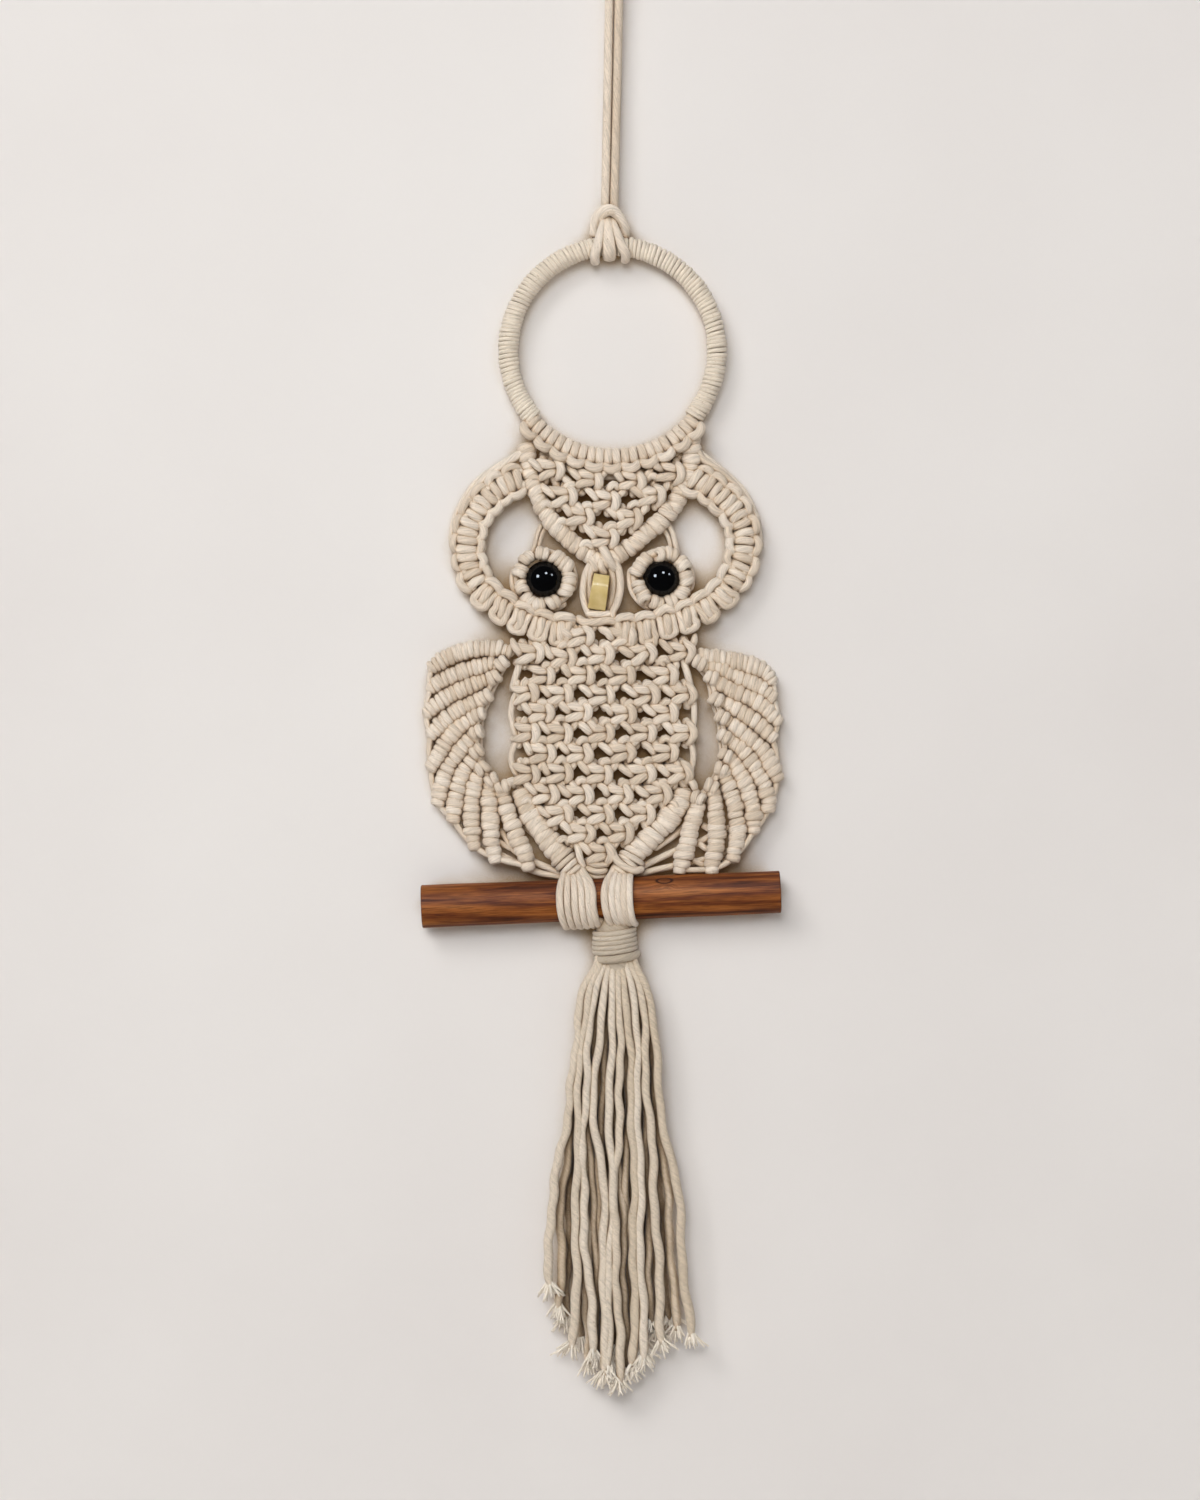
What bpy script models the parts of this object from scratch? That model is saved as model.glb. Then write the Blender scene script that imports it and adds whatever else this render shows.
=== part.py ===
"""Macrame owl wall hanging with a wooden perch.

Metres, +Z up. The origin is the hanging point, inside the crown of the cord's loop. +X is to the
right of someone who faces the owl, the owl looks along -Y, and the wall is behind it at +Y.
Tables are in millimetres: x from the hanging line, and down from the hanging point.
"""

import math

import bmesh
import bpy
import numpy as np
from mathutils import Matrix

MM = 0.001
GAP = 0.0003  # between two pieces that touch

# The cotton cord, and the hanging loop made of it
CORD_RADIUS = 0.0019
LOOP_LEAN = -0.0024  # how far the two strands lean to the left on their way down
LOOP_SPACING = 0.0041  # between the two strands' centres
LOOP_OPENING = 0.0052  # half the width of the loop that the nail goes through
LOOP_BELLY = 0.35  # where it is widest, as a share of its depth
LOOP_DEPTH = 0.024  # from the crown to where the strands lie side by side
LOOP_STEPS = 28
KNOT_TOP = 0.1130
KNOT_BOTTOM = 0.1215
KNOT_X = -0.0028
KNOT_BAR = 0.0063
KNOT_FLAT = 0.75
NECK_TOP = 0.1195
NECK_BOTTOM = 0.1236  # just above the bound ring
NECK_X = -0.0016
NECK_BAR = 0.0056
NECK_FLAT = 0.6
TURN_SPACING = 0.0042  # between the turns round the ring, at their top
TURN_LEAN = 0.0026  # how much wider they stand at their foot
TURN_STEPS = 16

# The ring: a rod, bound with cord except along the bottom, where the owl hangs on it
RING_X = -0.0006
RING_DOWN = 0.1755
RING_RADIUS = 0.0464  # to the middle of the rod
ROD_RADIUS = 0.0016
BOUND_CREST = 0.0047
BOUND_GROOVE = 0.0040
BOUND_HALF_ANGLE = 130.0  # degrees each way from the ring's top
BOUND_TURNS = 34
ROD_STEPS = 12
ROD_START = 0.0004  # how far past the binding's end the rod shows its own thickness
MOUNTING_HALF_ANGLE = 49.0  # the row of lark's heads, each way from the ring's bottom
MOUNTING_TURNS = 14
COLLAR_RADIUS = 0.0532
COLLAR_HALF_ANGLE = 42.0
COLLAR_BAR = 0.0031
COLLAR_FLATNESS = 1.1
COLLAR_STEPS = 12

# Ridged bars: how thick, and how far the groove between two hitches is cut in
GROOVE = 0.83
END_TAPER = 0.78
WING_BAR = 0.0042
WING_START = 0.74  # how thick a wing bar is where it starts, against its outer half
WING_FLATNESS = 0.88
WING_RIDGES = 6
WING_ROOT = 0.0034
BROW_BAR = 0.0040
BROW_RIDGES = 10
HEM_BAR = 0.0049
HEM_RIDGES = 8
HEM_FLATNESS = 0.85
LOOP_BAND = 0.0073
LOOP_FLATNESS = 0.58  # its thickness against its width
LOOP_RIDGES = 16
LOOP_BACK = 0.0003  # how far toward the wall it is set

# Eyes and beak
EYES = (("eye_left", -31.1, 277.3), ("eye_right", 21.1, 277.1))
EYE_RADIUS = 0.0080
EYE_FORWARD = -0.0015
ROSETTE_RADIUS = 0.0119
ROSETTE_BAR = 0.0034
ROSETTE_KNOTS = 10
BEAD_BORE = 0.0014
BEAD_STRAND = 0.0010
BEAK_X, BEAK_DOWN, BEAK_FORWARD = -0.00655, 0.2833, -0.0015
BEAK_SIZE = (0.0078, 0.0070, 0.0164)
BEAK_LEAN = 5.7  # degrees, its foot to the left
BEAK_EDGE = 0.0012
BEAK_STRAND = ((-5.6, 268.0), (-7.5, 294.0))  # the ends of the strand that goes through it

# The body's net: rows of knots, every other row set over by half a step
NET_X = -0.0058
NET_HALF_STEP = 0.0129
NET_TOP = 0.3098
NET_ROW = 0.0129
NET_STRAND = 0.0033
NET_FLATNESS = 0.72
NET_LAYER = 0.0006  # the two slants of strand lie this far before and behind the middle
NET_SLANTS = (  # which way each slant runs, and each line's first column and row, and its steps
    (1, ((-2, 0, 5), (0, 0, 3), (2, 0, 1), (-3, 1, 5), (-3, 3, 4))),
    (-1, ((2, 0, 5), (0, 0, 3), (-2, 0, 1), (3, 1, 5), (3, 3, 4))),
)
NET_KNOT_ROWS = range(1, 7)
NET_KNOT_COLUMNS = range(-2, 3)
NET_POINT = 8  # the row where its two sides would meet
SQUARE_KNOT = 0.0060  # half as tall as it is
SQUARE_KNOT_HALF_WIDTH = 0.0092
SQUARE_KNOT_FLATNESS = 0.62
SQUARE_KNOT_FORWARD = -0.0007
SQUARE_KNOT_SHAPE = ((-1, 0.55), (-0.5, 1.0), (0, 0.78), (0.5, 1.0), (1, 0.55))
FOREHEAD_STRAND = 0.0033
FOREHEAD_FLATNESS = 0.8

# The perch and what goes round it
PERCH_LEFT = (-84.7, 422.8)
PERCH_RIGHT = (73.1, 416.4)
PERCH_RADIUS = 0.0095
PERCH_SIDES = 28
PERCH_BEVEL = 0.0005
LEG_STRAND = 0.0017
LEG_STEPS = 5

# The tassel
HEAD_TOP = 0.4335
HEAD_BOTTOM = 0.4478
HEAD_X = 0.0003
HEAD_LEAN = 0.0012  # its foot to the right
HEAD_RADIUS = 0.0093
HEAD_FLATNESS = 0.85
HEAD_TURNS = 5
TASSEL_STRAND = 0.0021
TASSEL_LAYER = 0.0046
TASSEL_STEPS = 7
TASSEL_ROOT = (444.0, 0.45, 0.6)  # how far down, and the shares of its x and of its layer's place
TASSEL_ROUTE = ((458, 1, 0), (505, 0.72, 0.34), (560, 0.28, 0.78))  # down, and each end's share

# Wing bars, from the body out: where each starts, its middle, and its outer end
WING_COLUMNS = ("start_x", "start_down", "mid_x", "mid_down", "end_x", "end_down")
LEFT_WING = (
    (-43.6, 311.1, -61.8, 308.4, -80.9, 316.4),
    (-49.8, 315.5, -65.8, 318.2, -81.3, 325.3),
    (-53.8, 321.3, -68.4, 326.6, -83.5, 336.9),
    (-56.9, 329.7, -69.8, 336.0, -81.3, 345.7),
    (-60.0, 337.7, -72.9, 348.0, -81.3, 360.4),
    (-60.9, 345.7, -71.5, 358.2, -77.8, 375.5),
    (-61.3, 354.2, -68.9, 368.0, -71.5, 382.6),
    (-59.1, 361.3, -62.7, 375.1, -62.2, 394.6),
    (-55.1, 366.6, -55.1, 382.6, -52.9, 401.3),
    (-50.2, 371.1, -45.3, 387.1, -38.7, 404.0),
)
RIGHT_WING = (
    (36.9, 311.1, 52.9, 313.7, 70.7, 322.6),
    (39.6, 315.5, 56.0, 320.9, 70.2, 329.3),
    (44.4, 322.2, 59.5, 329.7, 72.4, 340.0),
    (47.1, 331.5, 59.1, 337.7, 69.8, 346.6),
    (49.8, 340.0, 62.2, 349.3, 72.0, 364.4),
    (50.2, 347.5, 61.8, 359.1, 68.0, 378.2),
    (50.7, 356.4, 59.1, 369.3, 61.8, 388.4),
    (48.4, 362.2, 54.2, 380.0, 52.4, 400.8),
    (44.0, 371.1, 45.8, 388.9, 44.9, 405.7),
    (37.3, 377.3, 33.8, 391.1, 29.3, 405.7),
)

# Lines through (x, down) places
BROWS = (
    ((-37.2, 216.0), (-38.2, 224.0), (-36.6, 233.0), (-31.1, 247.1), (-21.8, 258.2), (-6.4, 268.9)),
    ((34.0, 216.0), (34.6, 224.0), (33.8, 232.0), (25.8, 246.2), (11.1, 260.0), (-5.0, 269.6)),
)
EYE_LOOPS = (
    ((-38.6, 229.8), (-48.4, 234.2), (-60.9, 245.3), (-65.3, 264.4), (-60.0, 279.5),
     (-47.6, 291.5), (-35.6, 297.3), (-22.2, 300.2), (-15.1, 300.4)),
    ((33.2, 229.8), (40.4, 233.6), (53.8, 246.6), (57.9, 261.3), (53.8, 276.4),
     (41.8, 289.7), (32.0, 294.6), (20.4, 298.2), (8.9, 300.2), (1.8, 300.4)),
)
HEM_BARS = (
    ((-40.9, 372.9), (-36.0, 385.7), (-28.4, 396.0), (-20.0, 405.0)),
    ((30.2, 374.2), (23.1, 385.3), (13.8, 394.4), (5.4, 404.6)),
)
SIDE_CORDS = (
    ((-42.2, 310.0), (-44.9, 324.9), (-46.2, 337.3), (-44.0, 348.0), (-45.8, 356.4),
     (-42.2, 365.3), (-40.0, 374.0)),
    ((31.1, 310.0), (34.2, 326.2), (36.0, 337.3), (34.2, 348.0), (35.1, 356.4),
     (33.3, 365.3), (30.2, 375.0)),
)
WING_ROOTS = (
    ((-40.0, 309.6), (-49.8, 315.5), (-53.8, 321.3), (-60.0, 337.7), (-61.2, 350.0),
     (-59.1, 361.3), (-50.2, 371.6), (-39.5, 374.0)),
    ((32.0, 309.6), (39.6, 315.5), (44.4, 322.2), (49.8, 340.0), (50.6, 354.0),
     (48.4, 362.2), (37.3, 376.4), (28.5, 375.5)),
)
BEAK_CORDS = (
    ((-10.6, 269.0), (-13.6, 275.1), (-14.4, 283.1), (-13.7, 291.0), (-11.6, 298.6)),
    ((2.9, 268.6), (3.0, 277.0), (1.6, 286.0), (-0.9, 294.0), (-1.6, 298.6)),
)
FOREHEAD_KNOTS = ((-18.6, 234.2), (8.0, 234.2), (-5.6, 248.0))
FOREHEAD_STRANDS = (
    ((-29.0, 223.6), (-18.6, 234.2), (-5.6, 248.0), (8.0, 262.0)),
    ((18.4, 223.8), (8.0, 234.2), (-5.6, 248.0), (-18.0, 262.0)),
    ((-12.0, 228.4), (-18.6, 234.2), (-28.6, 244.0)),
    ((1.4, 228.4), (8.0, 234.2), (22.0, 247.0)),
    ((-5.6, 248.0), (-5.8, 268.0)),
)
# Plain strands: name, radius, and where each runs
PLAIN_STRANDS = (
    ("chin", 3.2, ((-19.0, 300.6), (-5.8, 299.0), (6.0, 300.6))),
    ("under_beak", 2.2, ((-13.2, 294.6), (-6.0, 294.2), (0.6, 294.8))),
    ("shoulders", 3.6, ((-46.0, 310.4), (-24.0, 309.6), (-5.8, 309.2), (14.0, 309.6), (36.0, 310.4))),
    ("left_wing_tie", 2.0, ((-41.5, 402.0), (-31.0, 406.6), (-20.0, 407.4))),
    ("right_wing_tie", 2.0, ((31.0, 403.6), (20.0, 406.0), (6.0, 406.8))),
)

# The legs: strands over the front of the perch, and behind it
LEG_COLUMNS = ("name", "side", "strands", "top_x", "top_width", "middle_x", "middle_width",
               "foot_x", "foot_width")
LEGS = (
    ("left_leg_front", -1, 5, -18.4, 8.4, -18.0, 17.3, -15.6, 16.9),
    ("left_leg_back", 1, 2, -18.4, 5.0, -17.4, 7.6, -14.6, 8.0),
    ("right_leg_front", -1, 4, 4.2, 7.4, 1.2, 14.5, 3.1, 13.3),
    ("right_leg_back", 1, 2, 4.2, 5.0, 2.2, 7.6, 3.1, 8.0),
)

# The tassel's strands, a row for each layer: how far forward it lies in layers, then each
# strand's x below the head, its x at its end, and how far down it ends
TASSEL = (
    (-1, ((-12.6, -30.6, 619), (-10.2, -26.6, 607), (-7.4, -19.4, 623), (-4.0, -13.2, 611),
          (-0.4, -3.4, 636), (3.2, 3.6, 630), (6.6, 11.4, 633), (10.0, 20.6, 624), (13.4, 31.4, 621))),
    (0, ((-11.2, -25.2, 614), (-8.0, -16.0, 618), (-4.6, -8.2, 626), (-1.4, -0.2, 622),
         (1.8, 7.2, 627), (5.2, 14.8, 613), (8.8, 19.6, 617), (12.0, 27.0, 619))),
    (1, ((-9.6, -21.4, 610), (-6.2, -12.0, 620), (-2.8, -4.0, 615), (0.6, 3.2, 624),
         (4.0, 10.4, 618), (7.4, 17.2, 622), (10.8, 23.8, 612))),
)


def clear_scene():
    for obj in list(bpy.data.objects):
        bpy.data.objects.remove(obj, do_unlink=True)


def new_collection(name):
    collection = bpy.data.collections.new(name)
    bpy.context.scene.collection.children.link(collection)
    return collection


def material(name, colour, roughness):
    made = bpy.data.materials.new(name)
    made.use_nodes = True
    shader = made.node_tree.nodes["Principled BSDF"]
    shader.inputs["Base Color"].default_value = (*colour, 1)
    shader.inputs["Roughness"].default_value = roughness
    shader.inputs["Metallic"].default_value = 0
    return made


def at(x, down, forward=0.0):
    """A place given in millimetres, in metres."""
    return np.array((x * MM, forward, -down * MM))


def places(table):
    return [at(x, down) for x, down in table]


def along(points, steps):
    """Evenly spaced places on the smooth line through the points, one more than the steps."""
    p = np.array(points, float)
    ends = np.vstack([2 * p[0] - p[1], p, 2 * p[-1] - p[-2]])
    fine = [p[0]]
    for a, b, c, d in zip(ends, ends[1:], ends[2:], ends[3:]):
        for t in np.linspace(0, 1, 13)[1:]:
            bend = (2 * a - 5 * b + 4 * c - d) * t**2 + (3 * b - a - 3 * c + d) * t**3
            fine.append(0.5 * (2 * b + (c - a) * t + bend))
    fine = np.array(fine)
    run = np.concatenate([[0], np.cumsum(np.linalg.norm(np.diff(fine, axis=0), axis=1))])
    wanted = np.linspace(0, run[-1], steps + 1)
    return np.stack([np.interp(wanted, run, fine[:, k]) for k in range(3)], axis=1)


def add_mesh(name, mesh):
    obj = bpy.data.objects.new(name, mesh)
    bpy.context.scene.collection.objects.link(obj)
    return obj


def as_mesh(obj):
    """The object's evaluated shape as a closed mesh object in its place, and the object removed."""
    bpy.context.view_layer.update()
    graph = bpy.context.evaluated_depsgraph_get()
    mesh = bpy.data.meshes.new_from_object(obj.evaluated_get(graph))
    mesh.transform(obj.matrix_world)
    shape = bmesh.new()
    shape.from_mesh(mesh)
    bmesh.ops.remove_doubles(shape, verts=shape.verts, dist=1e-6)
    bmesh.ops.recalc_face_normals(shape, faces=shape.faces)
    shape.to_mesh(mesh)
    shape.free()
    name = obj.name
    bpy.data.objects.remove(obj, do_unlink=True)
    return add_mesh(name, mesh)


def tube(name, line, radii, detail=1, closed=False, flatness=1.0, forward=0.0):
    """A tube along the line, with a radius at each place, pressed flat from the front."""
    radii = np.broadcast_to(radii, len(line))
    curve = bpy.data.curves.new(name, "CURVE")
    curve.dimensions = "3D"
    curve.bevel_depth = float(radii.max())
    curve.bevel_resolution = detail
    curve.use_fill_caps = not closed
    spline = curve.splines.new("POLY")
    spline.points.add(len(line) - 1)
    for point, place, radius in zip(spline.points, line, radii):
        point.co = (*place, 1)
        point.radius = radius / curve.bevel_depth
    spline.use_cyclic_u = closed
    obj = bpy.data.objects.new(name, curve)
    bpy.context.scene.collection.objects.link(obj)
    obj.scale = (1, flatness, 1)
    obj.location = (0, forward, 0)
    return as_mesh(obj)


def ridged_bar(name, points, radius, ridges, start=1.0, **shape):
    """A row of hitches on a carrying cord: one ridge for each, and narrower ends."""
    line = along(points, 2 * ridges)
    radii = np.full(len(line), radius * GROOVE)
    radii[1::2] = radius
    radii[[0, -1]] *= END_TAPER
    radii *= np.interp(np.linspace(0, 1, len(line)), (0, 0.5), (start, 1))
    return tube(name, line, radii, **shape)


def ring_point(degrees, radius):
    """A place on a circle round the ring's centre, from its top and clockwise."""
    angle = math.radians(degrees)
    return (RING_X + radius * math.sin(angle), 0, -RING_DOWN + radius * math.cos(angle))


def ring_arc(first, last, steps, radius):
    return np.array([ring_point(angle, radius) for angle in np.linspace(first, last, steps + 1)])


def fused(name, pieces, operation="UNION"):
    """The first piece joined with the rest, or with the rest cut from it."""
    base = pieces[0]
    others = new_collection(name + "_pieces")
    for piece in pieces[1:]:
        others.objects.link(piece)
    boolean = base.modifiers.new("fused", "BOOLEAN")
    boolean.operation = operation
    boolean.solver = "EXACT"
    boolean.operand_type = "COLLECTION"
    boolean.collection = others
    base.name = name
    whole = as_mesh(base)
    for piece in pieces[1:]:
        bpy.data.objects.remove(piece, do_unlink=True)
    bpy.data.collections.remove(others)
    whole.name = name
    return whole


def finished(obj, finish, owl, crease=40):
    """The piece in the owl's collection, shaded smooth, with its finish."""
    obj.data.materials.clear()
    obj.data.materials.append(finish)
    obj.data.shade_smooth()
    obj.data.set_sharp_from_angle(angle=math.radians(crease))
    bpy.context.scene.collection.objects.unlink(obj)
    owl.objects.link(obj)
    return obj


def hanging_cord():
    """A cord folded over the nail, its two strands side by side, knotted round the ring."""
    foot = 0.5 * (KNOT_TOP + KNOT_BOTTOM)
    strands = []
    for side in (-1, 1):
        strands.append([
            (side * 0.5 * LOOP_SPACING + LOOP_LEAN, 0, -foot),
            (side * 0.5 * LOOP_SPACING + 0.5 * LOOP_LEAN, 0, -0.5 * (foot + LOOP_DEPTH)),
            (side * 0.5 * LOOP_SPACING, 0, -LOOP_DEPTH),
            (side * LOOP_OPENING, 0, -LOOP_BELLY * LOOP_DEPTH),
        ])
    route = strands[0] + [(0, 0, CORD_RADIUS)] + strands[1][::-1]
    loop = tube("loop", along(route, LOOP_STEPS), CORD_RADIUS, detail=2)
    barrel = [(KNOT_X, 0, -KNOT_TOP), (KNOT_X, 0, -KNOT_BOTTOM)]
    knot = ridged_bar("knot", barrel, KNOT_BAR, 2, detail=2, flatness=KNOT_FLAT)
    turns = []
    reach = BOUND_CREST + CORD_RADIUS + 2 * GAP
    for step in (-1, 0, 1):
        line = []
        for angle in np.linspace(0, 2 * math.pi, TURN_STEPS, endpoint=False):
            away = step * (TURN_SPACING + TURN_LEAN * (0.5 - 0.5 * math.cos(angle)))
            top = math.sqrt(RING_RADIUS**2 - away**2) - RING_DOWN
            line.append((RING_X + away, reach * math.sin(angle), top + reach * math.cos(angle)))
        turns.append(tube(f"turn_{step + 1}", np.array(line), CORD_RADIUS, closed=True))
    line = np.array([(NECK_X, 0, -NECK_TOP), (NECK_X, 0, -NECK_BOTTOM)])
    neck = tube("neck", line, NECK_BAR, detail=2, flatness=NECK_FLAT)
    return fused("hanging_cord", [loop, knot, neck, *turns])


def bound_ring():
    """The rod bent to a circle, with the cord wound round it over the top."""
    first, last = -BOUND_HALF_ANGLE, BOUND_HALF_ANGLE
    bound = ring_arc(first, last, 2 * BOUND_TURNS, RING_RADIUS)
    radii = np.full(len(bound), BOUND_GROOVE)
    radii[1::2] = BOUND_CREST
    rod = ring_arc(last, 360 + first, ROD_STEPS, RING_RADIUS)
    end = math.degrees(ROD_START / RING_RADIUS)
    rod[0] = ring_point(last + end, RING_RADIUS)
    rod[-1] = ring_point(360 + first - end, RING_RADIUS)
    line = np.vstack([bound, rod])
    return tube("ring", line, np.concatenate([radii, np.full(len(rod), ROD_RADIUS)]),
                detail=2, closed=True)


def mounting_row():
    """The lark's heads on the bottom of the rod, with the rod's way through them left open."""
    first, last = 180 - MOUNTING_HALF_ANGLE, 180 + MOUNTING_HALF_ANGLE
    line = ring_arc(first, last, 2 * MOUNTING_TURNS, RING_RADIUS)
    radii = np.full(len(line), BOUND_GROOVE)
    radii[1::2] = BOUND_CREST
    row = tube("mounting_row", line, radii)
    way = ring_arc(BOUND_HALF_ANGLE, 360 - BOUND_HALF_ANGLE, ROD_STEPS, RING_RADIUS)
    bore = tube("bore", way, ROD_RADIUS + GAP, detail=2)
    return fused("mounting_row", [row, bore], "DIFFERENCE")


def collar():
    """The bar of cord just under the lark's heads."""
    first, last = 180 - COLLAR_HALF_ANGLE, 180 + COLLAR_HALF_ANGLE
    line = ring_arc(first, last, COLLAR_STEPS, COLLAR_RADIUS)
    return tube("collar", line, COLLAR_BAR, flatness=COLLAR_FLATNESS)


def wing(name, table):
    bars = []
    for number, row in enumerate(table):
        bar = dict(zip(WING_COLUMNS, row))
        line = [
            at(bar["start_x"], bar["start_down"]),
            at(bar["mid_x"], bar["mid_down"]),
            at(bar["end_x"], bar["end_down"]),
        ]
        bars.append(ridged_bar(f"{name}_{number}", line, WING_BAR, WING_RIDGES,
                               start=WING_START, flatness=WING_FLATNESS))
    return bars


def rosette(name, x, down):
    """The knotted circle round an eye, and the strand that goes through the bead."""
    angles = np.linspace(0, 2 * math.pi, 2 * ROSETTE_KNOTS, endpoint=False)
    line = np.array([at(x, down) + ROSETTE_RADIUS * np.array((math.cos(a), 0, math.sin(a)))
                     for a in angles])
    radii = np.full(len(line), ROSETTE_BAR * GROOVE)
    radii[1::2] = ROSETTE_BAR
    circle = tube(name + "_rosette", line, radii, closed=True)
    reach = EYE_RADIUS + GAP
    strand = [at(x, down) + np.array((0, forward, rise)) for forward, rise in (
        (0, ROSETTE_RADIUS), (EYE_FORWARD, reach), (EYE_FORWARD, -reach), (0, -ROSETTE_RADIUS))]
    return [circle, tube(name + "_strand", np.array(strand), BEAD_STRAND)]


def net_place(column, row, forward=0.0):
    return np.array((NET_X + column * NET_HALF_STEP, forward, -(NET_TOP + row * NET_ROW)))


def net():
    """The body: strands on two slants, with a ridged knot where they cross."""
    pieces = []
    for way, lines in NET_SLANTS:
        for number, (column, row, steps) in enumerate(lines):
            line = np.array([
                net_place(column, row), net_place(column + way * steps, row + steps)
            ])
            pieces.append(tube(f"net_{way}_{number}", line, NET_STRAND, detail=0,
                               flatness=NET_FLATNESS, forward=way * NET_LAYER))
    for row in NET_KNOT_ROWS:
        for column in NET_KNOT_COLUMNS:
            if (column + row) % 2 == 0 and abs(column) + row < NET_POINT:
                pieces.append(square_knot(f"knot_{column}_{row}", net_place(column, row)))
    return pieces


def square_knot(name, place):
    """One square knot: a short bar with two ridges."""
    half = np.array((SQUARE_KNOT_HALF_WIDTH, 0, 0))
    line = np.array([place + half * share for share, _ in SQUARE_KNOT_SHAPE])
    radii = [SQUARE_KNOT * thick for _, thick in SQUARE_KNOT_SHAPE]
    return tube(name, line, np.array(radii), detail=0, flatness=SQUARE_KNOT_FLATNESS,
                forward=SQUARE_KNOT_FORWARD)


def forehead():
    """The small net between the collar and the brows."""
    pieces = []
    for number, table in enumerate(FOREHEAD_STRANDS):
        pieces.append(tube(f"forehead_{number}", np.array(places(table)), FOREHEAD_STRAND, detail=0,
                           flatness=FOREHEAD_FLATNESS, forward=(-1) ** number * NET_LAYER))
    for number, (x, down) in enumerate(FOREHEAD_KNOTS):
        pieces.append(square_knot(f"forehead_knot_{number}", at(x, down)))
    return pieces


def perch_down(x):
    """How far down the perch's axis lies at x, both in millimetres."""
    (x0, down0), (x1, down1) = PERCH_LEFT, PERCH_RIGHT
    return down0 + (down1 - down0) * (x - x0) / (x1 - x0)


def leg(row):
    """Strands side by side that run from the hem round one side of the perch to its underside."""
    leg = dict(zip(LEG_COLUMNS, row))
    reach = PERCH_RADIUS + LEG_STRAND + 3 * GAP
    pieces = []
    for number in range(leg["strands"]):
        share = number / (leg["strands"] - 1) - 0.5
        line = []
        for angle in np.linspace(90, -90, LEG_STEPS + 1):
            rise, out = math.sin(math.radians(angle)), math.cos(math.radians(angle))
            end = "top" if angle > 0 else "foot"
            x = leg["middle_x"] * out + leg[end + "_x"] * (1 - out)
            width = leg["middle_width"] * out + leg[end + "_width"] * (1 - out)
            x += share * (width - 2 * LEG_STRAND / MM)
            place = at(x, perch_down(x))
            line.append(place + np.array((0, leg["side"] * out * reach, rise * reach)))
        pieces.append(tube(f"{leg['name']}_{number}", np.array(line), LEG_STRAND, detail=0))
    return pieces


def owl_macrame():
    pieces = [mounting_row(), collar()]
    pieces += forehead()
    for number, table in enumerate(BROWS):
        pieces.append(ridged_bar(f"brow_{number}", places(table), BROW_BAR, BROW_RIDGES))
    for number, table in enumerate(EYE_LOOPS):
        pieces.append(ridged_bar(f"eye_loop_{number}", places(table), LOOP_BAND, LOOP_RIDGES,
                                 flatness=LOOP_FLATNESS, forward=LOOP_BACK))
    for name, x, down in EYES:
        pieces += rosette(name, x, down)
    for number, table in enumerate(BEAK_CORDS):
        pieces.append(tube(f"beak_cord_{number}", along(places(table), 6), CORD_RADIUS))
    lean = BEAK_SIZE[2] * math.sin(math.radians(BEAK_LEAN))
    middle = np.array((BEAK_X, BEAK_FORWARD, -BEAK_DOWN))
    half = 0.5 * np.array((lean, 0, BEAK_SIZE[2]))
    top, foot = (at(*end, BEAK_FORWARD) for end in BEAK_STRAND)
    line = np.array([top, middle + half, middle - half, foot])
    pieces.append(tube("beak_strand", line, BEAD_STRAND))
    pieces += net()
    for number, table in enumerate(SIDE_CORDS):
        pieces.append(tube(f"side_cord_{number}", along(places(table), 9), CORD_RADIUS, detail=0))
    for number, table in enumerate(WING_ROOTS):
        pieces.append(tube(f"wing_root_{number}", along(places(table), 10), WING_ROOT, detail=0))
    pieces += wing("left_wing", LEFT_WING)
    pieces += wing("right_wing", RIGHT_WING)
    for number, table in enumerate(HEM_BARS):
        pieces.append(ridged_bar(f"hem_bar_{number}", places(table), HEM_BAR, HEM_RIDGES,
                                 flatness=HEM_FLATNESS))
    for name, radius, table in PLAIN_STRANDS:
        pieces.append(tube(name, along(places(table), len(table)), radius * MM, detail=0))
    for row in LEGS:
        pieces += leg(row)
    return fused("owl_macrame", pieces)


def eye(name, x, down):
    """A round bead with a hole from top to bottom."""
    place = at(x, down, EYE_FORWARD)
    bpy.ops.mesh.primitive_uv_sphere_add(segments=16, ring_count=10, radius=EYE_RADIUS, location=place)
    bead = bpy.context.object
    bead.name = name
    bpy.ops.mesh.primitive_cylinder_add(vertices=8, radius=BEAD_BORE, depth=3 * EYE_RADIUS,
                                        location=place)
    bore = bpy.context.object
    return fused(name, [as_mesh(bead), as_mesh(bore)], "DIFFERENCE")


def beak():
    """A long bead with a flat front and rounded edges, and a hole along it."""
    bpy.ops.mesh.primitive_cube_add(size=1, location=(0, 0, 0))
    bead = bpy.context.object
    bead.name = "beak"
    bead.data.transform(Matrix.Diagonal((*BEAK_SIZE, 1)))
    bevel = bead.modifiers.new("edges", "BEVEL")
    bevel.width = BEAK_EDGE
    bevel.segments = 2
    bead = as_mesh(bead)
    bpy.ops.mesh.primitive_cylinder_add(vertices=10, radius=BEAD_BORE, depth=2 * BEAK_SIZE[2])
    bead = fused("beak", [bead, as_mesh(bpy.context.object)], "DIFFERENCE")
    bead.rotation_euler = (0, math.radians(BEAK_LEAN), 0)
    bead.location = (BEAK_X, BEAK_FORWARD, -BEAK_DOWN)
    return bead


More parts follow.
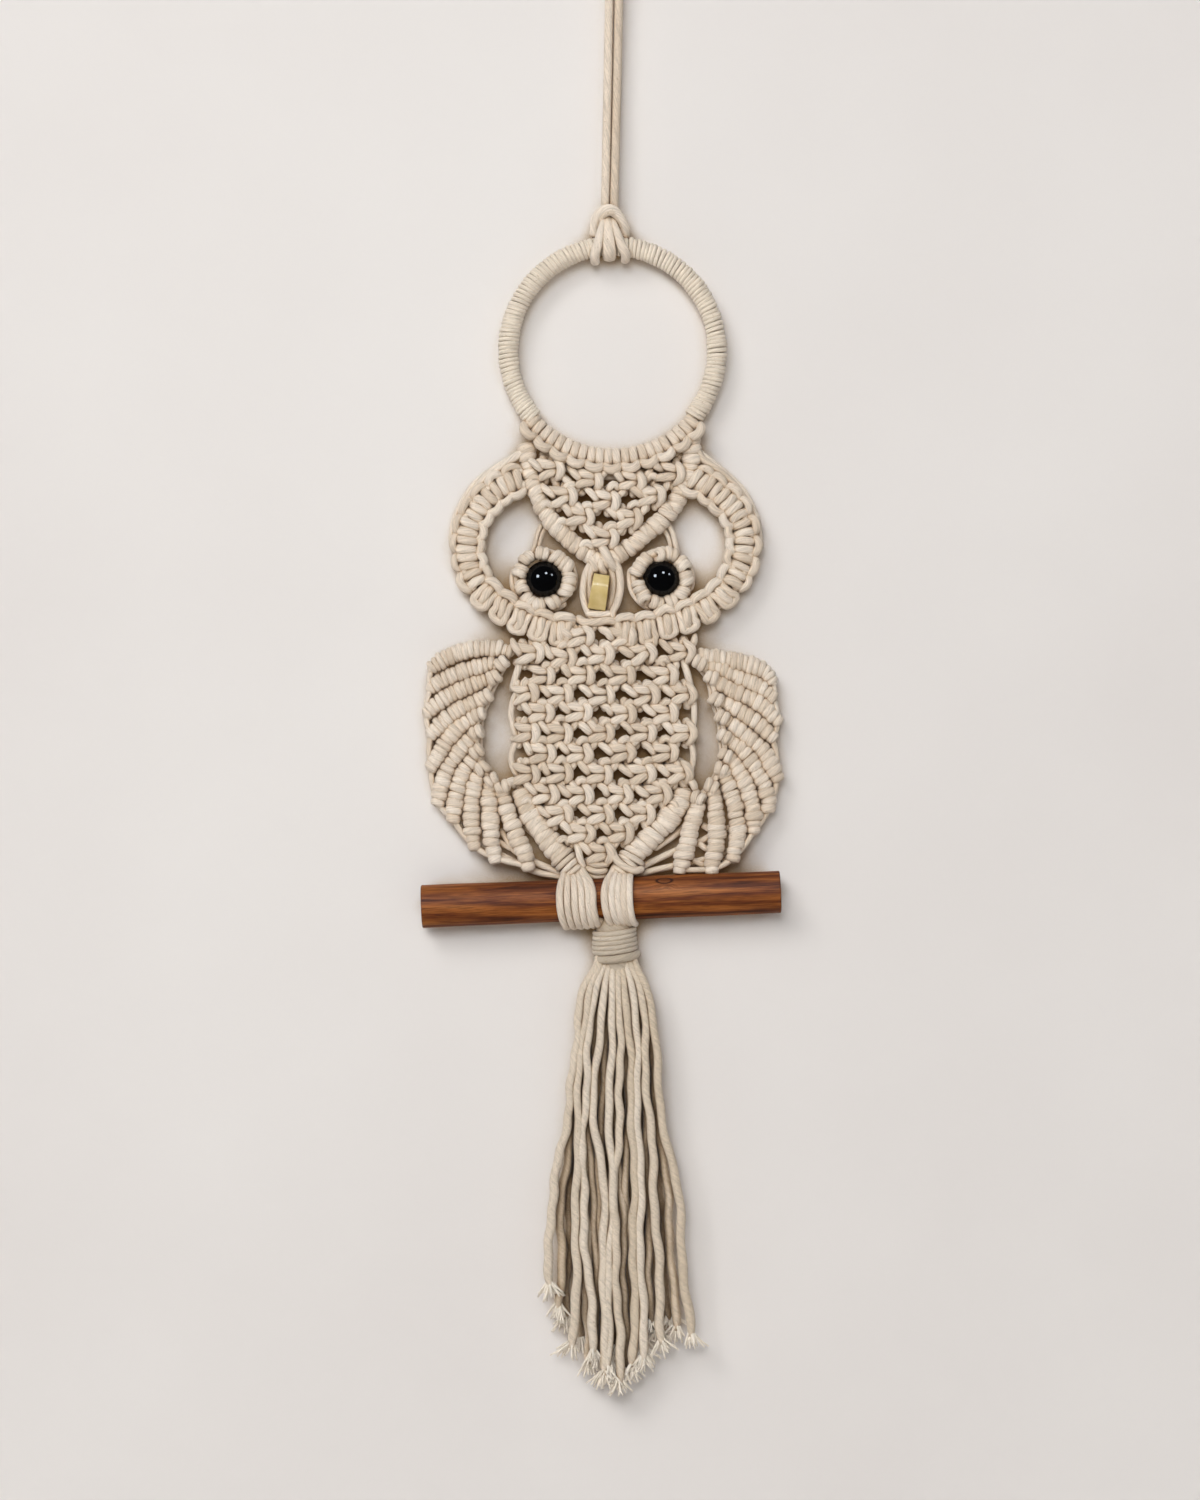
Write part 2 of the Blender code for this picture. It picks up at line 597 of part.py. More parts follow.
def perch():
    """A straight round stick with its ends sawn square."""
    left, right = at(*PERCH_LEFT), at(*PERCH_RIGHT)
    run = right - left
    bpy.ops.mesh.primitive_cylinder_add(
        vertices=PERCH_SIDES, radius=PERCH_RADIUS, depth=float(np.linalg.norm(run)),
        location=0.5 * (left + right), rotation=(0, math.atan2(run[0], run[2]), 0),
    )
    stick = bpy.context.object
    stick.name = "perch"
    bevel = stick.modifiers.new("edges", "BEVEL")
    bevel.width = PERCH_BEVEL
    bevel.segments = 1
    bevel.limit_method = "ANGLE"
    return as_mesh(stick)


def tassel():
    """The bound head and its strands, which part from each other below it."""
    barrel = [(HEAD_X, 0, -HEAD_TOP), (HEAD_X + HEAD_LEAN, 0, -HEAD_BOTTOM)]
    line = along(barrel, 2 * HEAD_TURNS)
    radii = np.full(len(line), HEAD_RADIUS)
    radii[::2] = HEAD_RADIUS * GROOVE
    radii[-1] = HEAD_RADIUS
    pieces = [tube("head", line, radii, detail=3, flatness=HEAD_FLATNESS)]
    root_down, root_share, layer_share = TASSEL_ROOT
    for layer, strands in TASSEL:
        for number, (neck_x, end_x, end_down) in enumerate(strands):
            forward = layer * TASSEL_LAYER
            route = [at(root_share * neck_x, root_down, layer_share * forward)]
            for down, neck_share, end_share in TASSEL_ROUTE:
                route.append(at(neck_share * neck_x + end_share * end_x, down, forward))
            route.append(at(end_x, end_down, forward))
            pieces.append(tube(f"strand_{layer}_{number}", along(route, TASSEL_STEPS),
                               TASSEL_STRAND, detail=0))
    return fused("tassel", pieces)


def build():
    clear_scene()
    owl = new_collection("macrame_owl_hanging")
    cotton = material("natural_cotton", (0.68, 0.60, 0.49), 0.9)
    wood = material("oiled_wood", (0.26, 0.09, 0.03), 0.55)
    black = material("black_bead", (0.004, 0.005, 0.006), 0.08)
    ivory = material("yellow_bead", (0.65, 0.53, 0.28), 0.2)
    finished(hanging_cord(), cotton, owl)
    finished(bound_ring(), cotton, owl)
    finished(owl_macrame(), cotton, owl)
    for name, x, down in EYES:
        finished(eye(name, x, down), black, owl)
    finished(beak(), ivory, owl)
    finished(perch(), wood, owl)
    finished(tassel(), cotton, owl)


build()
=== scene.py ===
"""Macrame owl wall hanging: a bound ring, knotted cotton, three beads, a wooden perch and a tassel.

Places are read from the photograph's 1200 x 1500 frame: (across, down), and a third number is how
far forward of the owl's middle plane it lies. All three are in PIXEL steps. Sizes are in metres.
"""

import math

import bmesh
import bpy
import numpy as np
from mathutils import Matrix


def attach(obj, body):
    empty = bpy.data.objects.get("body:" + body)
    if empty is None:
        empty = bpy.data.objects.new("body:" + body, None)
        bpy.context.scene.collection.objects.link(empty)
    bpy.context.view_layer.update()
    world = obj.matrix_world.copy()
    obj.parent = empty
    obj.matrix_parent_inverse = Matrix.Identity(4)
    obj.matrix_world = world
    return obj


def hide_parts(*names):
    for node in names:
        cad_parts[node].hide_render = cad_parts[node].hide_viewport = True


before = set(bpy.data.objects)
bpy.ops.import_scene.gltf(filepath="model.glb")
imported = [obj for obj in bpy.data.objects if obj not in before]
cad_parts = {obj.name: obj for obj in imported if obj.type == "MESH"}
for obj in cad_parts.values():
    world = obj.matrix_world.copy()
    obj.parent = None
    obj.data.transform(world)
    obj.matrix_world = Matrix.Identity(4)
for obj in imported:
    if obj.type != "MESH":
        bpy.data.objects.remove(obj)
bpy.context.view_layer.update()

PIXEL = 0.0004444  # metres on the owl for one pixel of the photograph
ORIGIN_ACROSS, ORIGIN_DOWN = 614.0, -45.0  # where the hanging point lies
FRONT = np.array((0.0, -1.0, 0.0))
TWIST = 0.034  # metres of cord to one turn of its soft fibres
ROPE_TWIST = 0.0125  # and in the tassel, where the cord has opened into a rope
rng = np.random.default_rng(11)

# The hanging cord and its knot round the ring
HANGING_STRANDS = (
    ((605.0, 214, 2), (605.6, 195, 3), (607.6, 100, 0), (609.4, 0, 0), (609.2, -16, 0),
     (603.4, -28, 0), (604.8, -42, 0), (614.0, -49.3, 0)),
    ((613.6, 214, 2), (614.2, 195, 3), (616.6, 100, 0), (618.8, 0, 0), (619.0, -16, 0),
     (624.6, -28, 0), (623.2, -42, 0), (614.0, -49.3, 0)),
)
KNOT_ARCHES = (
    (5.2, ((594.5, 232, -2), (595.5, 221, 3), (600, 213, 8), (608, 209.5, 11), (615, 212, 10),
           (621, 219, 7), (625, 229, 2), (625, 236, -4))),
    (4.4, ((599, 222, 2), (603, 215.5, 8), (610, 212.5, 11.5), (617, 216, 9), (621.5, 224, 5),
           (623.5, 233, 0))),
    (4.6, ((596, 230, -4), (598, 217, -8), (608, 211, -10), (618, 217, -8), (624, 231, -4))),
)
# Each turn round the ring: half its width, its top, where its foot is, and how far that hangs down
KNOT_TURNS = (
    (5.0, (603.5, 219.5), 595.0, 2.8),
    (7.0, (608.0, 218.5), 609.5, 0.6),
    (4.9, (612.5, 219.5), 625.5, 1.8),
)
KNOT_SIDES = (
    (2.6, ((594, 224, -3), (593.4, 234, -5), (594.5, 246, -10))),
    (3.4, ((624, 228, -2), (626.4, 237, -4), (628, 248, -9))),
)

# The ring
RING_CENTRE = (612.6, 350.0)
RING_RADIUS = 104.5
BOUND_ANGLE = 130.0  # degrees each way from the top
BOUND_TURNS = 115
BOUND_OUT = 10.4
BOUND_CORD = 2.35
ROD = 3.6
LARK_ANGLE = 50.0  # degrees each way from the bottom
LARK_HEADS = 11

FOREHEAD_KNOTS = (
    (550, 468), (588, 479), (629, 480), (668, 471), (561, 495), (604, 499), (649, 495),
    (580, 516), (628, 518), (603, 537),
)
BODY_KNOTS = (
    (578, 636), (620, 636),
    (528, 653), (560, 657), (598, 654), (640, 653), (679, 651),
    (540, 674), (578, 674), (620, 674), (662, 674),
    (524, 694), (558, 694), (599, 694), (643, 694), (681, 694),
    (538, 712), (577, 712), (621, 712), (663, 712),
    (524, 732), (558, 732), (598, 732), (641, 732), (681, 732),
    (540, 752), (577, 752), (618, 752), (662, 752),
    (525, 773), (557, 773), (597, 773), (639, 773), (677, 773),
    (543, 794), (577, 794), (617, 794), (656, 794),
    (557, 813), (597, 813), (639, 813),
    (579, 832), (617, 832),
    (598, 852),
)
BROWS = (
    ((527, 448), (527, 455), (528, 462), (529, 470), (531, 478), (534, 487), (538, 495),
     (541, 504), (545, 511), (549, 518), (554, 524), (560, 531), (566, 537), (573, 543),
     (581, 549), (589, 555), (597, 560)),
    ((692, 441), (692, 448), (692, 456), (691, 465), (689, 474), (685, 482), (681, 491),
     (677, 500), (672, 508), (667, 514), (661, 520), (654, 526), (647, 532), (640, 539),
     (632, 545), (624, 550), (615, 555), (606, 560)),
)
EYE_LOOPS = (
    ((514, 481), (505, 485), (491, 495), (479, 508), (471, 522), (468, 536), (467, 550),
     (469, 563), (473, 575), (480, 587), (489, 597), (500, 606), (512, 614), (526, 621),
     (541, 626.5), (556, 630), (571, 630)),
    ((698, 481), (708, 486), (722, 497), (735, 511), (742, 527), (744, 543), (742, 560),
     (735, 577), (724, 593), (708, 606), (688, 616.5), (664, 624), (642, 629.5), (624, 631)),
)
LOOP_CENTRES = ((520, 552), (690, 552))
EYE_BEADS = ((544.0, 579.0), (661.4, 578.5))
BEAD_RADIUS = 18.6
BEAD_FORWARD = 2.4
ROSETTE_RADIUS = 25.0
BEAK_PLACE = (599.2, 592.2, 4.4)
BEAK_SIZE = (0.0076, 0.0056, 0.0158)
BEAK_LEAN = 8.8

# Wing bars, from the top one down; each from the body out
LEFT_WING = (
    ((509, 652), (494, 649), (475, 649.5), (456, 654), (441, 661), (432, 668)),
    ((496, 664.5), (490, 664), (475, 668), (456, 674), (441, 681), (431, 688)),
    ((490, 678.5), (483, 681), (467, 687), (452, 694), (437, 704), (427, 713)),
    ((483, 698), (473, 703), (457, 711), (442, 723), (431, 734)),
    ((476, 716), (467, 721), (454, 731), (444, 745), (437, 757), (431, 767)),
    ((473, 737), (465, 745), (457, 755), (448, 768), (443, 780), (440, 791), (438, 802)),
    ((474, 756), (470, 762), (463, 773), (459, 784), (456, 795), (454, 806), (453, 818)),
    ((480, 772), (476, 780), (474, 789), (472, 800), (471, 811), (471, 822), (472, 834),
     (474, 846)),
    ((490, 786), (489, 795), (489, 803), (490, 812), (490, 823), (491, 834), (492, 845),
     (495, 858)),
    ((502, 793), (505, 802), (507, 811), (510, 820), (514, 830), (518, 839), (522, 848),
     (525, 857), (528, 866)),
)
RIGHT_WING = (
    ((701, 656), (709, 657.5), (720, 658.5), (733, 661), (745, 664), (758, 667.5), (767, 673),
     (772, 681)),
    ((706, 666), (716, 667), (730, 673), (741, 678), (753, 683), (763, 689), (772, 697)),
    ((716, 681), (726, 686), (736, 692), (748, 697), (759, 703), (768, 711), (777, 721)),
    ((722, 702), (731, 706), (741, 712), (752, 719), (762, 727), (772, 737)),
    ((728, 721), (736, 727), (745, 734), (755, 743), (764, 753), (771, 764), (777, 777)),
    ((729, 739), (738, 746), (747, 755), (756, 769), (764, 783), (768, 796), (768, 808)),
    ((730, 759), (736, 766), (742, 777), (748, 789), (751, 801), (754, 813), (754, 830)),
    ((725, 773), (728, 783), (732, 794), (735, 805), (737, 817), (738, 829), (737, 842),
     (733, 858)),
    ((714, 793), (715, 803), (716, 814), (717, 826), (717, 839), (715, 851), (713, 861),
     (712, 870)),
    ((698, 806), (695, 816), (692, 826), (689, 836), (686, 847), (683, 858), (680, 870)),
)
LEFT_PITCH = (5.3, 5.3, 5.4, 6.0, 6.4, 6.9, 7.2, 7.5, 7.8, 8.2)
RIGHT_PITCH = (5.7, 6.3, 7.0, 7.6, 7.5, 7.4, 7.3, 7.2, 7.4, 7.7)
LEFT_KNOBS = ((502, 663), (494, 677), (486, 696), (479, 714), (477, 732), (477, 751),
              (482, 768), (492, 780), (502, 787))
RIGHT_KNOBS = ((699, 662), (711, 677), (716, 699), (722, 717), (724, 736), (725, 755),
               (721, 769), (711, 786), (698, 798))
HEM_BARS = (
    ((523, 793), (525, 801), (528, 809), (532, 817), (537, 824), (542, 832), (547, 839),
     (553, 846), (559, 853), (565, 860), (570, 866)),
    ((684, 795), (680, 803), (675, 811), (669, 818), (663, 825), (656, 832), (649, 839),
     (642, 846), (635, 853), (630, 860), (626, 866)),
)
# Single cords: radius, then where each runs
SIDE_CORDS = (
    (3.6, ((521, 660, 3), (517, 672, 3), (513, 686, 1))),
    (3.2, ((518, 690, 2), (513, 701, 2), (511, 715, 2), (514, 730, 2), (519, 739, 1))),
    (3.2, ((519, 738, 2), (513, 748, 2), (511, 758, 2), (514, 770, 2), (521, 780, 1))),
    (3.6, ((682, 658, 3), (687, 672, 3), (691, 688, 1))),
    (3.2, ((688, 690, 2), (693, 700, 2), (694.5, 714, 2), (693, 728, 2), (687, 738, 1))),
    (3.2, ((687, 736, 2), (692, 746, 2), (693.5, 758, 2), (691, 770, 2), (686, 780, 1))),
)
BEAK_CORDS = (
    (3.7, ((592, 561, 3), (586.5, 572, 3), (583.4, 584, 3), (583.6, 598, 3), (587.5, 611, 3),
           (592, 619, 2))),
    (3.5, ((597, 560, 5), (592.5, 567, 5), (590.0, 577, 3), (589.2, 590, 0), (590.5, 604, 0),
           (594, 614, 0))),
    (3.9, ((613, 558, 4), (618.0, 568, 4), (620.2, 580, 3), (619.8, 592, 4), (616.6, 604, 4),
           (612.6, 612, 4), (613.5, 622, 2))),
    (3.4, ((609, 562, 2), (612.5, 574, 2), (613.6, 586, 1), (612.0, 600, 1), (608, 612, 0))),
    (3.6, ((615, 560, 0), (617.5, 575, 0), (616.8, 590, -1), (613.5, 606, -1), (610, 616, -1))),
    (4.2, ((589, 613.5, 3), (598, 614.6, 5), (608, 614, 4))),
    (4.4, ((579, 619, 3), (585, 622.6, 6), (596, 622.4, 7), (608, 620.4, 6), (617, 623, 3))),
    (4.4, ((589, 556, 3), (593.5, 561.5, 7), (596, 568.5, 5))),
    (4.6, ((601.5, 546, 5), (605.5, 553, 9), (609.5, 561, 9), (614, 567.5, 4))),
    (4.2, ((603, 558, 5), (600.5, 565, 7), (603.5, 572, 3))),
)
EYE_LINKS = (
    (2.5, ((541, 525, -3), (537, 534, -2), (534, 548, 1), (531, 558, 3))),
    (2.2, ((545, 527, -4), (541, 536, -3), (538, 548, -1))),
    (2.7, ((668, 524, -3), (673, 533, -2), (676, 547, 1), (679, 560, 3))),
    (2.4, ((664, 528, -4), (669, 538, -3), (672, 550, -1))),
)
EDGE_CORDS = (
    (3.8, ((529, 446, 4), (516, 457, 3), (498, 469, 2), (481, 482, 1), (468, 500, 0),
           (460, 518, -1), (456, 536, -2))),
    (3.4, ((520, 452, -2), (508, 460, -2), (490, 471, -3), (474, 484, -3), (462, 502, -4),
           (454, 520, -4), (451, 538, -5))),
    (3.8, ((694, 446, 4), (704, 460, 3), (718, 470, 2), (732, 482, 1), (744, 498, 0),
           (751, 515, -1), (755, 534, -2))),
    (3.4, ((700, 452, -2), (712, 462, -2), (726, 473, -3), (741, 487, -3), (751, 503, -4),
           (758, 522, -4), (760, 540, -5))),
)
WING_TIES = (
    (3.4, ((502, 832, -6), (514, 850, -6), (534, 862, -6), (556, 871, -5), (566, 874, -4))),
    (3.4, ((494, 852, -7), (514, 862, -7), (536, 872, -7), (560, 877, -5))),
    (3.2, ((512, 815, -6), (524, 826, -6), (538, 838, -6))),
    (3.4, ((718, 832, -7), (700, 842, -7), (676, 851, -7), (650, 863, -6), (634, 872, -5))),
    (3.4, ((732, 850, -7), (712, 858, -7), (686, 864, -7), (656, 870, -6), (636, 876, -5))),
    (3.2, ((690, 822, -6), (674, 836, -6), (656, 848, -6))),
    (3.2, ((476, 830, -5), (490, 838, -6), (510, 848, -6))),
    (3.2, ((704, 826, -5), (716, 832, -5), (730, 828, -5))),
    (3.2, ((700, 844, -5), (708, 849, -5), (722, 846, -5))),
    (3.2, ((694, 861, -5), (706, 866, -5), (724, 864, -5))),
)

# The perch and the legs: each leg strand's place at the hem, on the perch's front, and under it
PERCH_ENDS = ((421.6, 906.5), (780.4, 891.9))
PERCH_RADIUS = 21.4
PERCH_KNOT = (664.0, 879.0)
LEG_RADIUS = 3.9
LEGS = (
    ((567.0, 872), (560.0, 900), (565.0, 929)),
    ((569.5, 871), (567.3, 900), (572.0, 930)),
    ((572.0, 870), (574.6, 900), (579.0, 930)),
    ((574.5, 870), (581.5, 900), (585.6, 930)),
    ((577.0, 870), (588.0, 900), (592.0, 929)),
    ((579.5, 872), (592.6, 903), (597.4, 927)),
    ((617.0, 870), (604.6, 898), (611.0, 926)),
    ((620.5, 869), (611.5, 898), (618.0, 927)),
    ((624.0, 869), (617.6, 898), (623.5, 927)),
    ((627.5, 870), (623.4, 898), (628.4, 926)),
    ((630.5, 872), (629.0, 900), (633.0, 925)),
)
# The turns that gather each leg: where they start, where they end, and half their width at each
LEG_BANDS = (
    ((562.0, 857.0, 11.0), (573.5, 871.5, 8.6), 4),
    ((632.0, 858.5, 11.5), (621.5, 872.0, 9.2), 4),
)

NECK_CORDS = (
    (3.9, ((611, 843, 5), (612.5, 851, 9), (616, 859, 11), (624, 866, 12), (634, 870.5, 11), (641, 869, 6))),
    (3.7, ((576.5, 843, 3), (578.5, 850, 7), (580, 858, 8), (583, 865, 4))),
    (3.8, ((589, 862, 3), (597, 864.5, 6), (606, 864, 4))),
    (3.8, ((587, 868, 2), (596, 871.5, 5), (605, 871, 3))),
    (3.6, ((588, 874, 0), (597, 877, 2), (606, 876, 0))),
)

# The tassel: turns round its head (place, half width, thickness), and its strands in three layers
HEAD_TURNS = (
    (614.5, 931.0, 19.6, 2.9), (614.5, 935.6, 20.0, 2.7), (614.6, 940.2, 20.4, 2.7),
    (614.8, 944.8, 20.6, 2.7), (615.0, 949.4, 20.6, 2.7), (617.0, 956.0, 20.4, 4.2),
)
TASSEL_TOP = 958.0
TASSEL_LAYER = 9.5
# Each strand: x at the head, at 1000, 1100 and 1200, and then its end
TASSEL = (
    (1, (596, 581, 570, 552, 548, 1296)), (1, (600, 587, 578, 577, 574, 1356)),
    (1, (604, 593, 585, 583, 595, 1362)), (1, (609, 603, 594, 604, 604, 1384)),
    (1, (613, 612, 610, 612, 606, 1378)), (1, (618, 619, 620, 614, 621, 1392)),
    (1, (622, 626, 632, 634, 634, 1376)), (1, (627, 634, 638, 640, 643, 1368)),
    (1, (631, 642, 648, 655, 662, 1352)), (1, (636, 650, 660, 678, 690, 1345)),
    (0, (598, 584, 574, 562, 560, 1318)), (0, (602, 590, 582, 586, 588, 1374)),
    (0, (607, 599, 590, 592, 610, 1372)), (0, (612, 608, 602, 600, 596, 1366)),
    (0, (617, 616, 613, 622, 626, 1380)), (0, (622, 624, 627, 627, 646, 1362)),
    (0, (628, 638, 645, 648, 650, 1334)), (0, (634, 646, 655, 668, 676, 1340)),
    (-1, (600, 587, 577, 569, 566, 1330)), (-1, (606, 596, 588, 580, 582, 1352)),
    (-1, (613, 610, 606, 607, 616, 1360)), (-1, (620, 622, 622, 630, 640, 1352)),
    (-1, (627, 636, 641, 644, 656, 1344)), (-1, (633, 645, 652, 662, 668, 1330)),
)
TASSEL_CORD = 4.7
FRAY_FIBRES = 20
FRAY_LENGTH = 18.0

CAMERA_CENTRE = (600.0, 750.0)
LENS = 100.0
FILM = 36.0
HANG_BACK = 6.0
WALL_BEHIND = 0.0108
FLOOR_DROP = 1.5


def spot(across, down, forward=0.0):
    """A place of the photograph, in metres on the owl. Above the perch it hangs back a little."""
    back = HANG_BACK * np.interp(down, (790, 880), (1.0, 0.0))
    return np.array((
        (across - ORIGIN_ACROSS) * PIXEL, (back - forward) * PIXEL, (ORIGIN_DOWN - down) * PIXEL,
    ))


def spots(table):
    return np.array([spot(*row) for row in table])


def smooth(points, spacing):
    """Evenly spaced places on the smooth line through the points. Spacing is in metres."""
    p = np.array(points, float)
    ends = np.vstack([2 * p[0] - p[1], p, 2 * p[-1] - p[-2]])
    t = np.linspace(0, 1, 13)[1:, None]
    fine = [p[:1]]
    for a, b, c, d in zip(ends, ends[1:], ends[2:], ends[3:]):
        bend = (2 * a - 5 * b + 4 * c - d) * t**2 + (3 * b - a - 3 * c + d) * t**3
        fine.append(0.5 * (2 * b + (c - a) * t + bend))
    fine = np.vstack(fine)
    run = np.concatenate([[0], np.cumsum(np.linalg.norm(np.diff(fine, axis=0), axis=1))])
    wanted = np.linspace(0, run[-1], max(2, round(run[-1] / spacing) + 1))
    return np.stack([np.interp(wanted, run, fine[:, k]) for k in range(3)], axis=1)


def unit(vectors):
    vectors = np.asarray(vectors, float)
    return vectors / np.maximum(np.linalg.norm(vectors, axis=-1, keepdims=True), 1e-12)


def new_bundle():
    return {"places": [], "faces": [], "lay": [], "tint": [], "count": 0}


def cord(bundle, line, radius, thin=1.0, outward=None, closed=False, sides=8, tips="round",
         twist=TWIST):
    """One cord along the line. Radius is in pixel steps. Outward is the way it is pressed thin."""
    line = np.asarray(line, float)
    radius = np.broadcast_to(np.asarray(radius, float) * PIXEL, len(line)).copy()
    if closed:
        tangent = unit(np.roll(line, -1, axis=0) - np.roll(line, 1, axis=0))
    else:
        tangent = unit(np.gradient(line, axis=0))
    if outward is None:
        normal = np.zeros_like(line)
        first = FRONT if abs(tangent[0] @ FRONT) < 0.9 else np.array((0.0, 0.0, 1.0))
        for i, t in enumerate(tangent):
            first = unit(first - (first @ t) * t)
            normal[i] = first
    else:
        outward = np.broadcast_to(outward, line.shape)
        normal = unit(outward - np.sum(outward * tangent, axis=1, keepdims=True) * tangent)
    if not closed and tips == "round":
        cap = np.array(((0.95, 0.30), (0.72, 0.68), (0.30, 0.95)))
        for end, way in ((0, -1), (-1, 1)):
            r = radius[end]
            extra = line[end] + way * tangent[end] * r * cap[:, 1:]
            size = r * cap[:, 0]
            if end == 0:
                line = np.vstack([extra[::-1], line])
                radius = np.concatenate([size[::-1], radius])
            else:
                line = np.vstack([line, extra])
                radius = np.concatenate([radius, size])
        tangent = np.vstack([tangent[:1]] * 3 + [tangent] + [tangent[-1:]] * 3)
        normal = np.vstack([normal[:1]] * 3 + [normal] + [normal[-1:]] * 3)
    side = np.cross(tangent, normal)
    step = np.linalg.norm(np.diff(line, axis=0), axis=1)
    run = np.concatenate([[0], np.cumsum(step)]) + rng.uniform(0, 1)
    angle = np.linspace(0, 2 * math.pi, sides, endpoint=False)
    ring = (
        line[:, None]
        + radius[:, None, None] * thin * np.cos(angle)[None, :, None] * normal[:, None]
        + radius[:, None, None] * np.sin(angle)[None, :, None] * side[:, None]
    )
    turned = angle[None] + 2 * math.pi * run[:, None] / twist
    lay = np.stack([np.cos(turned), np.sin(turned), np.repeat(run[:, None], sides, axis=1)], axis=2)
    rows = len(line)
    base = bundle["count"]
    index = base + np.arange(rows * sides).reshape(rows, sides)
    nxt = np.roll(index, -1, axis=1)
    if closed:
        quads = np.stack([index, nxt, np.roll(nxt, -1, axis=0), np.roll(index, -1, axis=0)], axis=2)
    else:
        quads = np.stack([index[:-1], nxt[:-1], nxt[1:], index[1:]], axis=2)
        bundle["faces"].append(index[0][::-1].tolist())
        bundle["faces"].append(index[-1].tolist())
    bundle["faces"].extend(quads.reshape(-1, 4).tolist())
    bundle["places"].append(ring.reshape(-1, 3))
    bundle["lay"].append(lay.reshape(-1, 3))
    bundle["tint"].append(np.full(rows * sides, rng.uniform(0, 1)))
    bundle["count"] += rows * sides


def drawn(bundle, radius, table, **shape):
    cord(bundle, smooth(spots(table), 2.6 * PIXEL), radius, **shape)


def piece(name, bundle, material, node):
    """The bundle's cords as one finished piece that stands for the solid."""
    mesh = bpy.data.meshes.new(name)
    mesh.from_pydata(np.vstack(bundle["places"]).tolist(), [], bundle["faces"])
    lay = mesh.attributes.new("lay", "FLOAT_VECTOR", "POINT")
    lay.data.foreach_set("vector", np.vstack(bundle["lay"]).astype(np.float32).ravel())
    tint = mesh.attributes.new("tint", "FLOAT", "POINT")
    tint.data.foreach_set("value", np.concatenate(bundle["tint"]).astype(np.float32))
    mesh.shade_smooth()
    obj = bpy.data.objects.new(name, mesh)
    bpy.context.scene.collection.objects.link(obj)
    return dressed(obj, material, node)


def dressed(obj, material, node):
    obj.data.materials.clear()
    obj.data.materials.append(material)
    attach(obj, "root")
    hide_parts(node)
    return obj


# --- knots ---------------------------------------------------------------------------------------


# A square knot's cords as they show from in front: radius, how slim its ends are, then
# (across, down, forward) of its middle
KNOT_CORDS = (
    (3.8, 0.70, ((-20.6, -13.0, 1.0), (-17.6, -9.0, 6.0), (-13.2, -4.4, 8.6), (-9.4, -0.2, 7.4),
                 (-6.0, 3.0, 1.5))),
    (4.5, 0.62, ((-12.4, -7.6, 1.5), (-8.6, -6.3, 5.6), (-3.2, -4.4, 8.2), (3.4, -3.0, 7.4),
                 (10.0, -2.0, 3.0))),
    (4.3, 0.60, ((5.2, -10.6, 1.0), (8.8, -7.4, 7.0), (12.0, -2.2, 10.2), (12.3, 3.6, 10.0),
                 (9.8, 8.8, 6.4), (5.4, 12.2, 0.5))),
    (4.5, 0.60, ((-12.0, 9.4, 1.5), (-8.8, 8.2, 6.6), (-3.3, 6.2, 8.4), (3.0, 4.2, 7.8),
                 (10.0, 2.6, 3.0))),
    (3.6, 0.80, ((-21.4, 16.4, 0.5), (-20.4, 11.6, 5.4), (-17.2, 7.8, 8.0), (-13.8, 7.2, 8.4),
                 (-11.2, 9.8, 5.4), (-10.0, 13.4, 0.5))),
)
KNOT_CORE = (
    (4.4, 1.0, ((-5.0, -11.0, 0.0), (-2.5, -4.0, 1.6), (-2.5, 4.0, 1.6), (-5.0, 13.0, 0.0))),
    (4.4, 1.0, ((4.5, -11.0, 0.0), (3.5, -4.0, 1.6), (3.5, 4.0, 1.6), (5.5, 13.0, 0.0))),
)
KNOT_JOINS = {  # what shows beside a knot where the next one lies that way
    (1, -1): (3.5, 0.64, ((21.0, -16.0, 1.0), (18.6, -10.8, 5.0), (15.6, -6.2, 6.0), (11.0, -1.6, 2.0))),
    (1, 1): (3.7, 0.66, ((9.6, 7.0, 1.0), (13.6, 10.0, 5.2), (17.0, 13.2, 7.0), (19.2, 17.0, 6.2),
                         (20.4, 22.0, 1.0))),
}


def wrap(bundle, centre, axis, half, depth, width, thick, slant=0.0, points=16):
    """One turn of cord round a bar that runs along the axis. Sizes are in pixel steps."""
    axis = unit(axis)
    side = unit(np.cross(axis, FRONT))
    front = np.cross(side, axis)
    angle = np.linspace(-0.5 * math.pi, 1.5 * math.pi, points, endpoint=False)[:, None]
    out = np.cos(angle) * side * half + np.sin(angle) * front * depth
    line = centre + PIXEL * (out + slant * np.cos(angle) * axis * half)
    away = np.cos(angle) * side / half + np.sin(angle) * front / depth
    cord(bundle, line, width, thin=thick / width, outward=away, closed=True)


def hitched_bar(bundle, table, width, pitch, thick=2.6, depth=1.0, slant=0.10, ends=(1.0, 1.0)):
    """Half hitches side by side over the cord that carries them."""
    centres = smooth(spots(table), pitch * PIXEL)
    tangent = np.gradient(centres, axis=0)
    share = np.linspace(0, 1, len(centres))
    sizes = width * np.interp(share, (0, 0.25, 0.8, 1), (ends[0], 1.0, 1.0, ends[1]))
    for size, place, way in zip(sizes, centres, tangent):
        wide = 0.67 * pitch * (1 + 0.07 * rng.normal())
        half = 0.5 * size * (1 + 0.05 * rng.normal()) - thick
        drift = PIXEL * rng.normal(0, 0.35, 3)
        wrap(bundle, place + drift, way, half, half * depth, wide, thick * (1 + 0.08 * rng.normal()),
             slant=slant + 0.05 * rng.normal())
    cord(bundle, smooth(centres, 4 * PIXEL), 0.5 * width - 1.2 * thick, thin=depth, outward=FRONT)


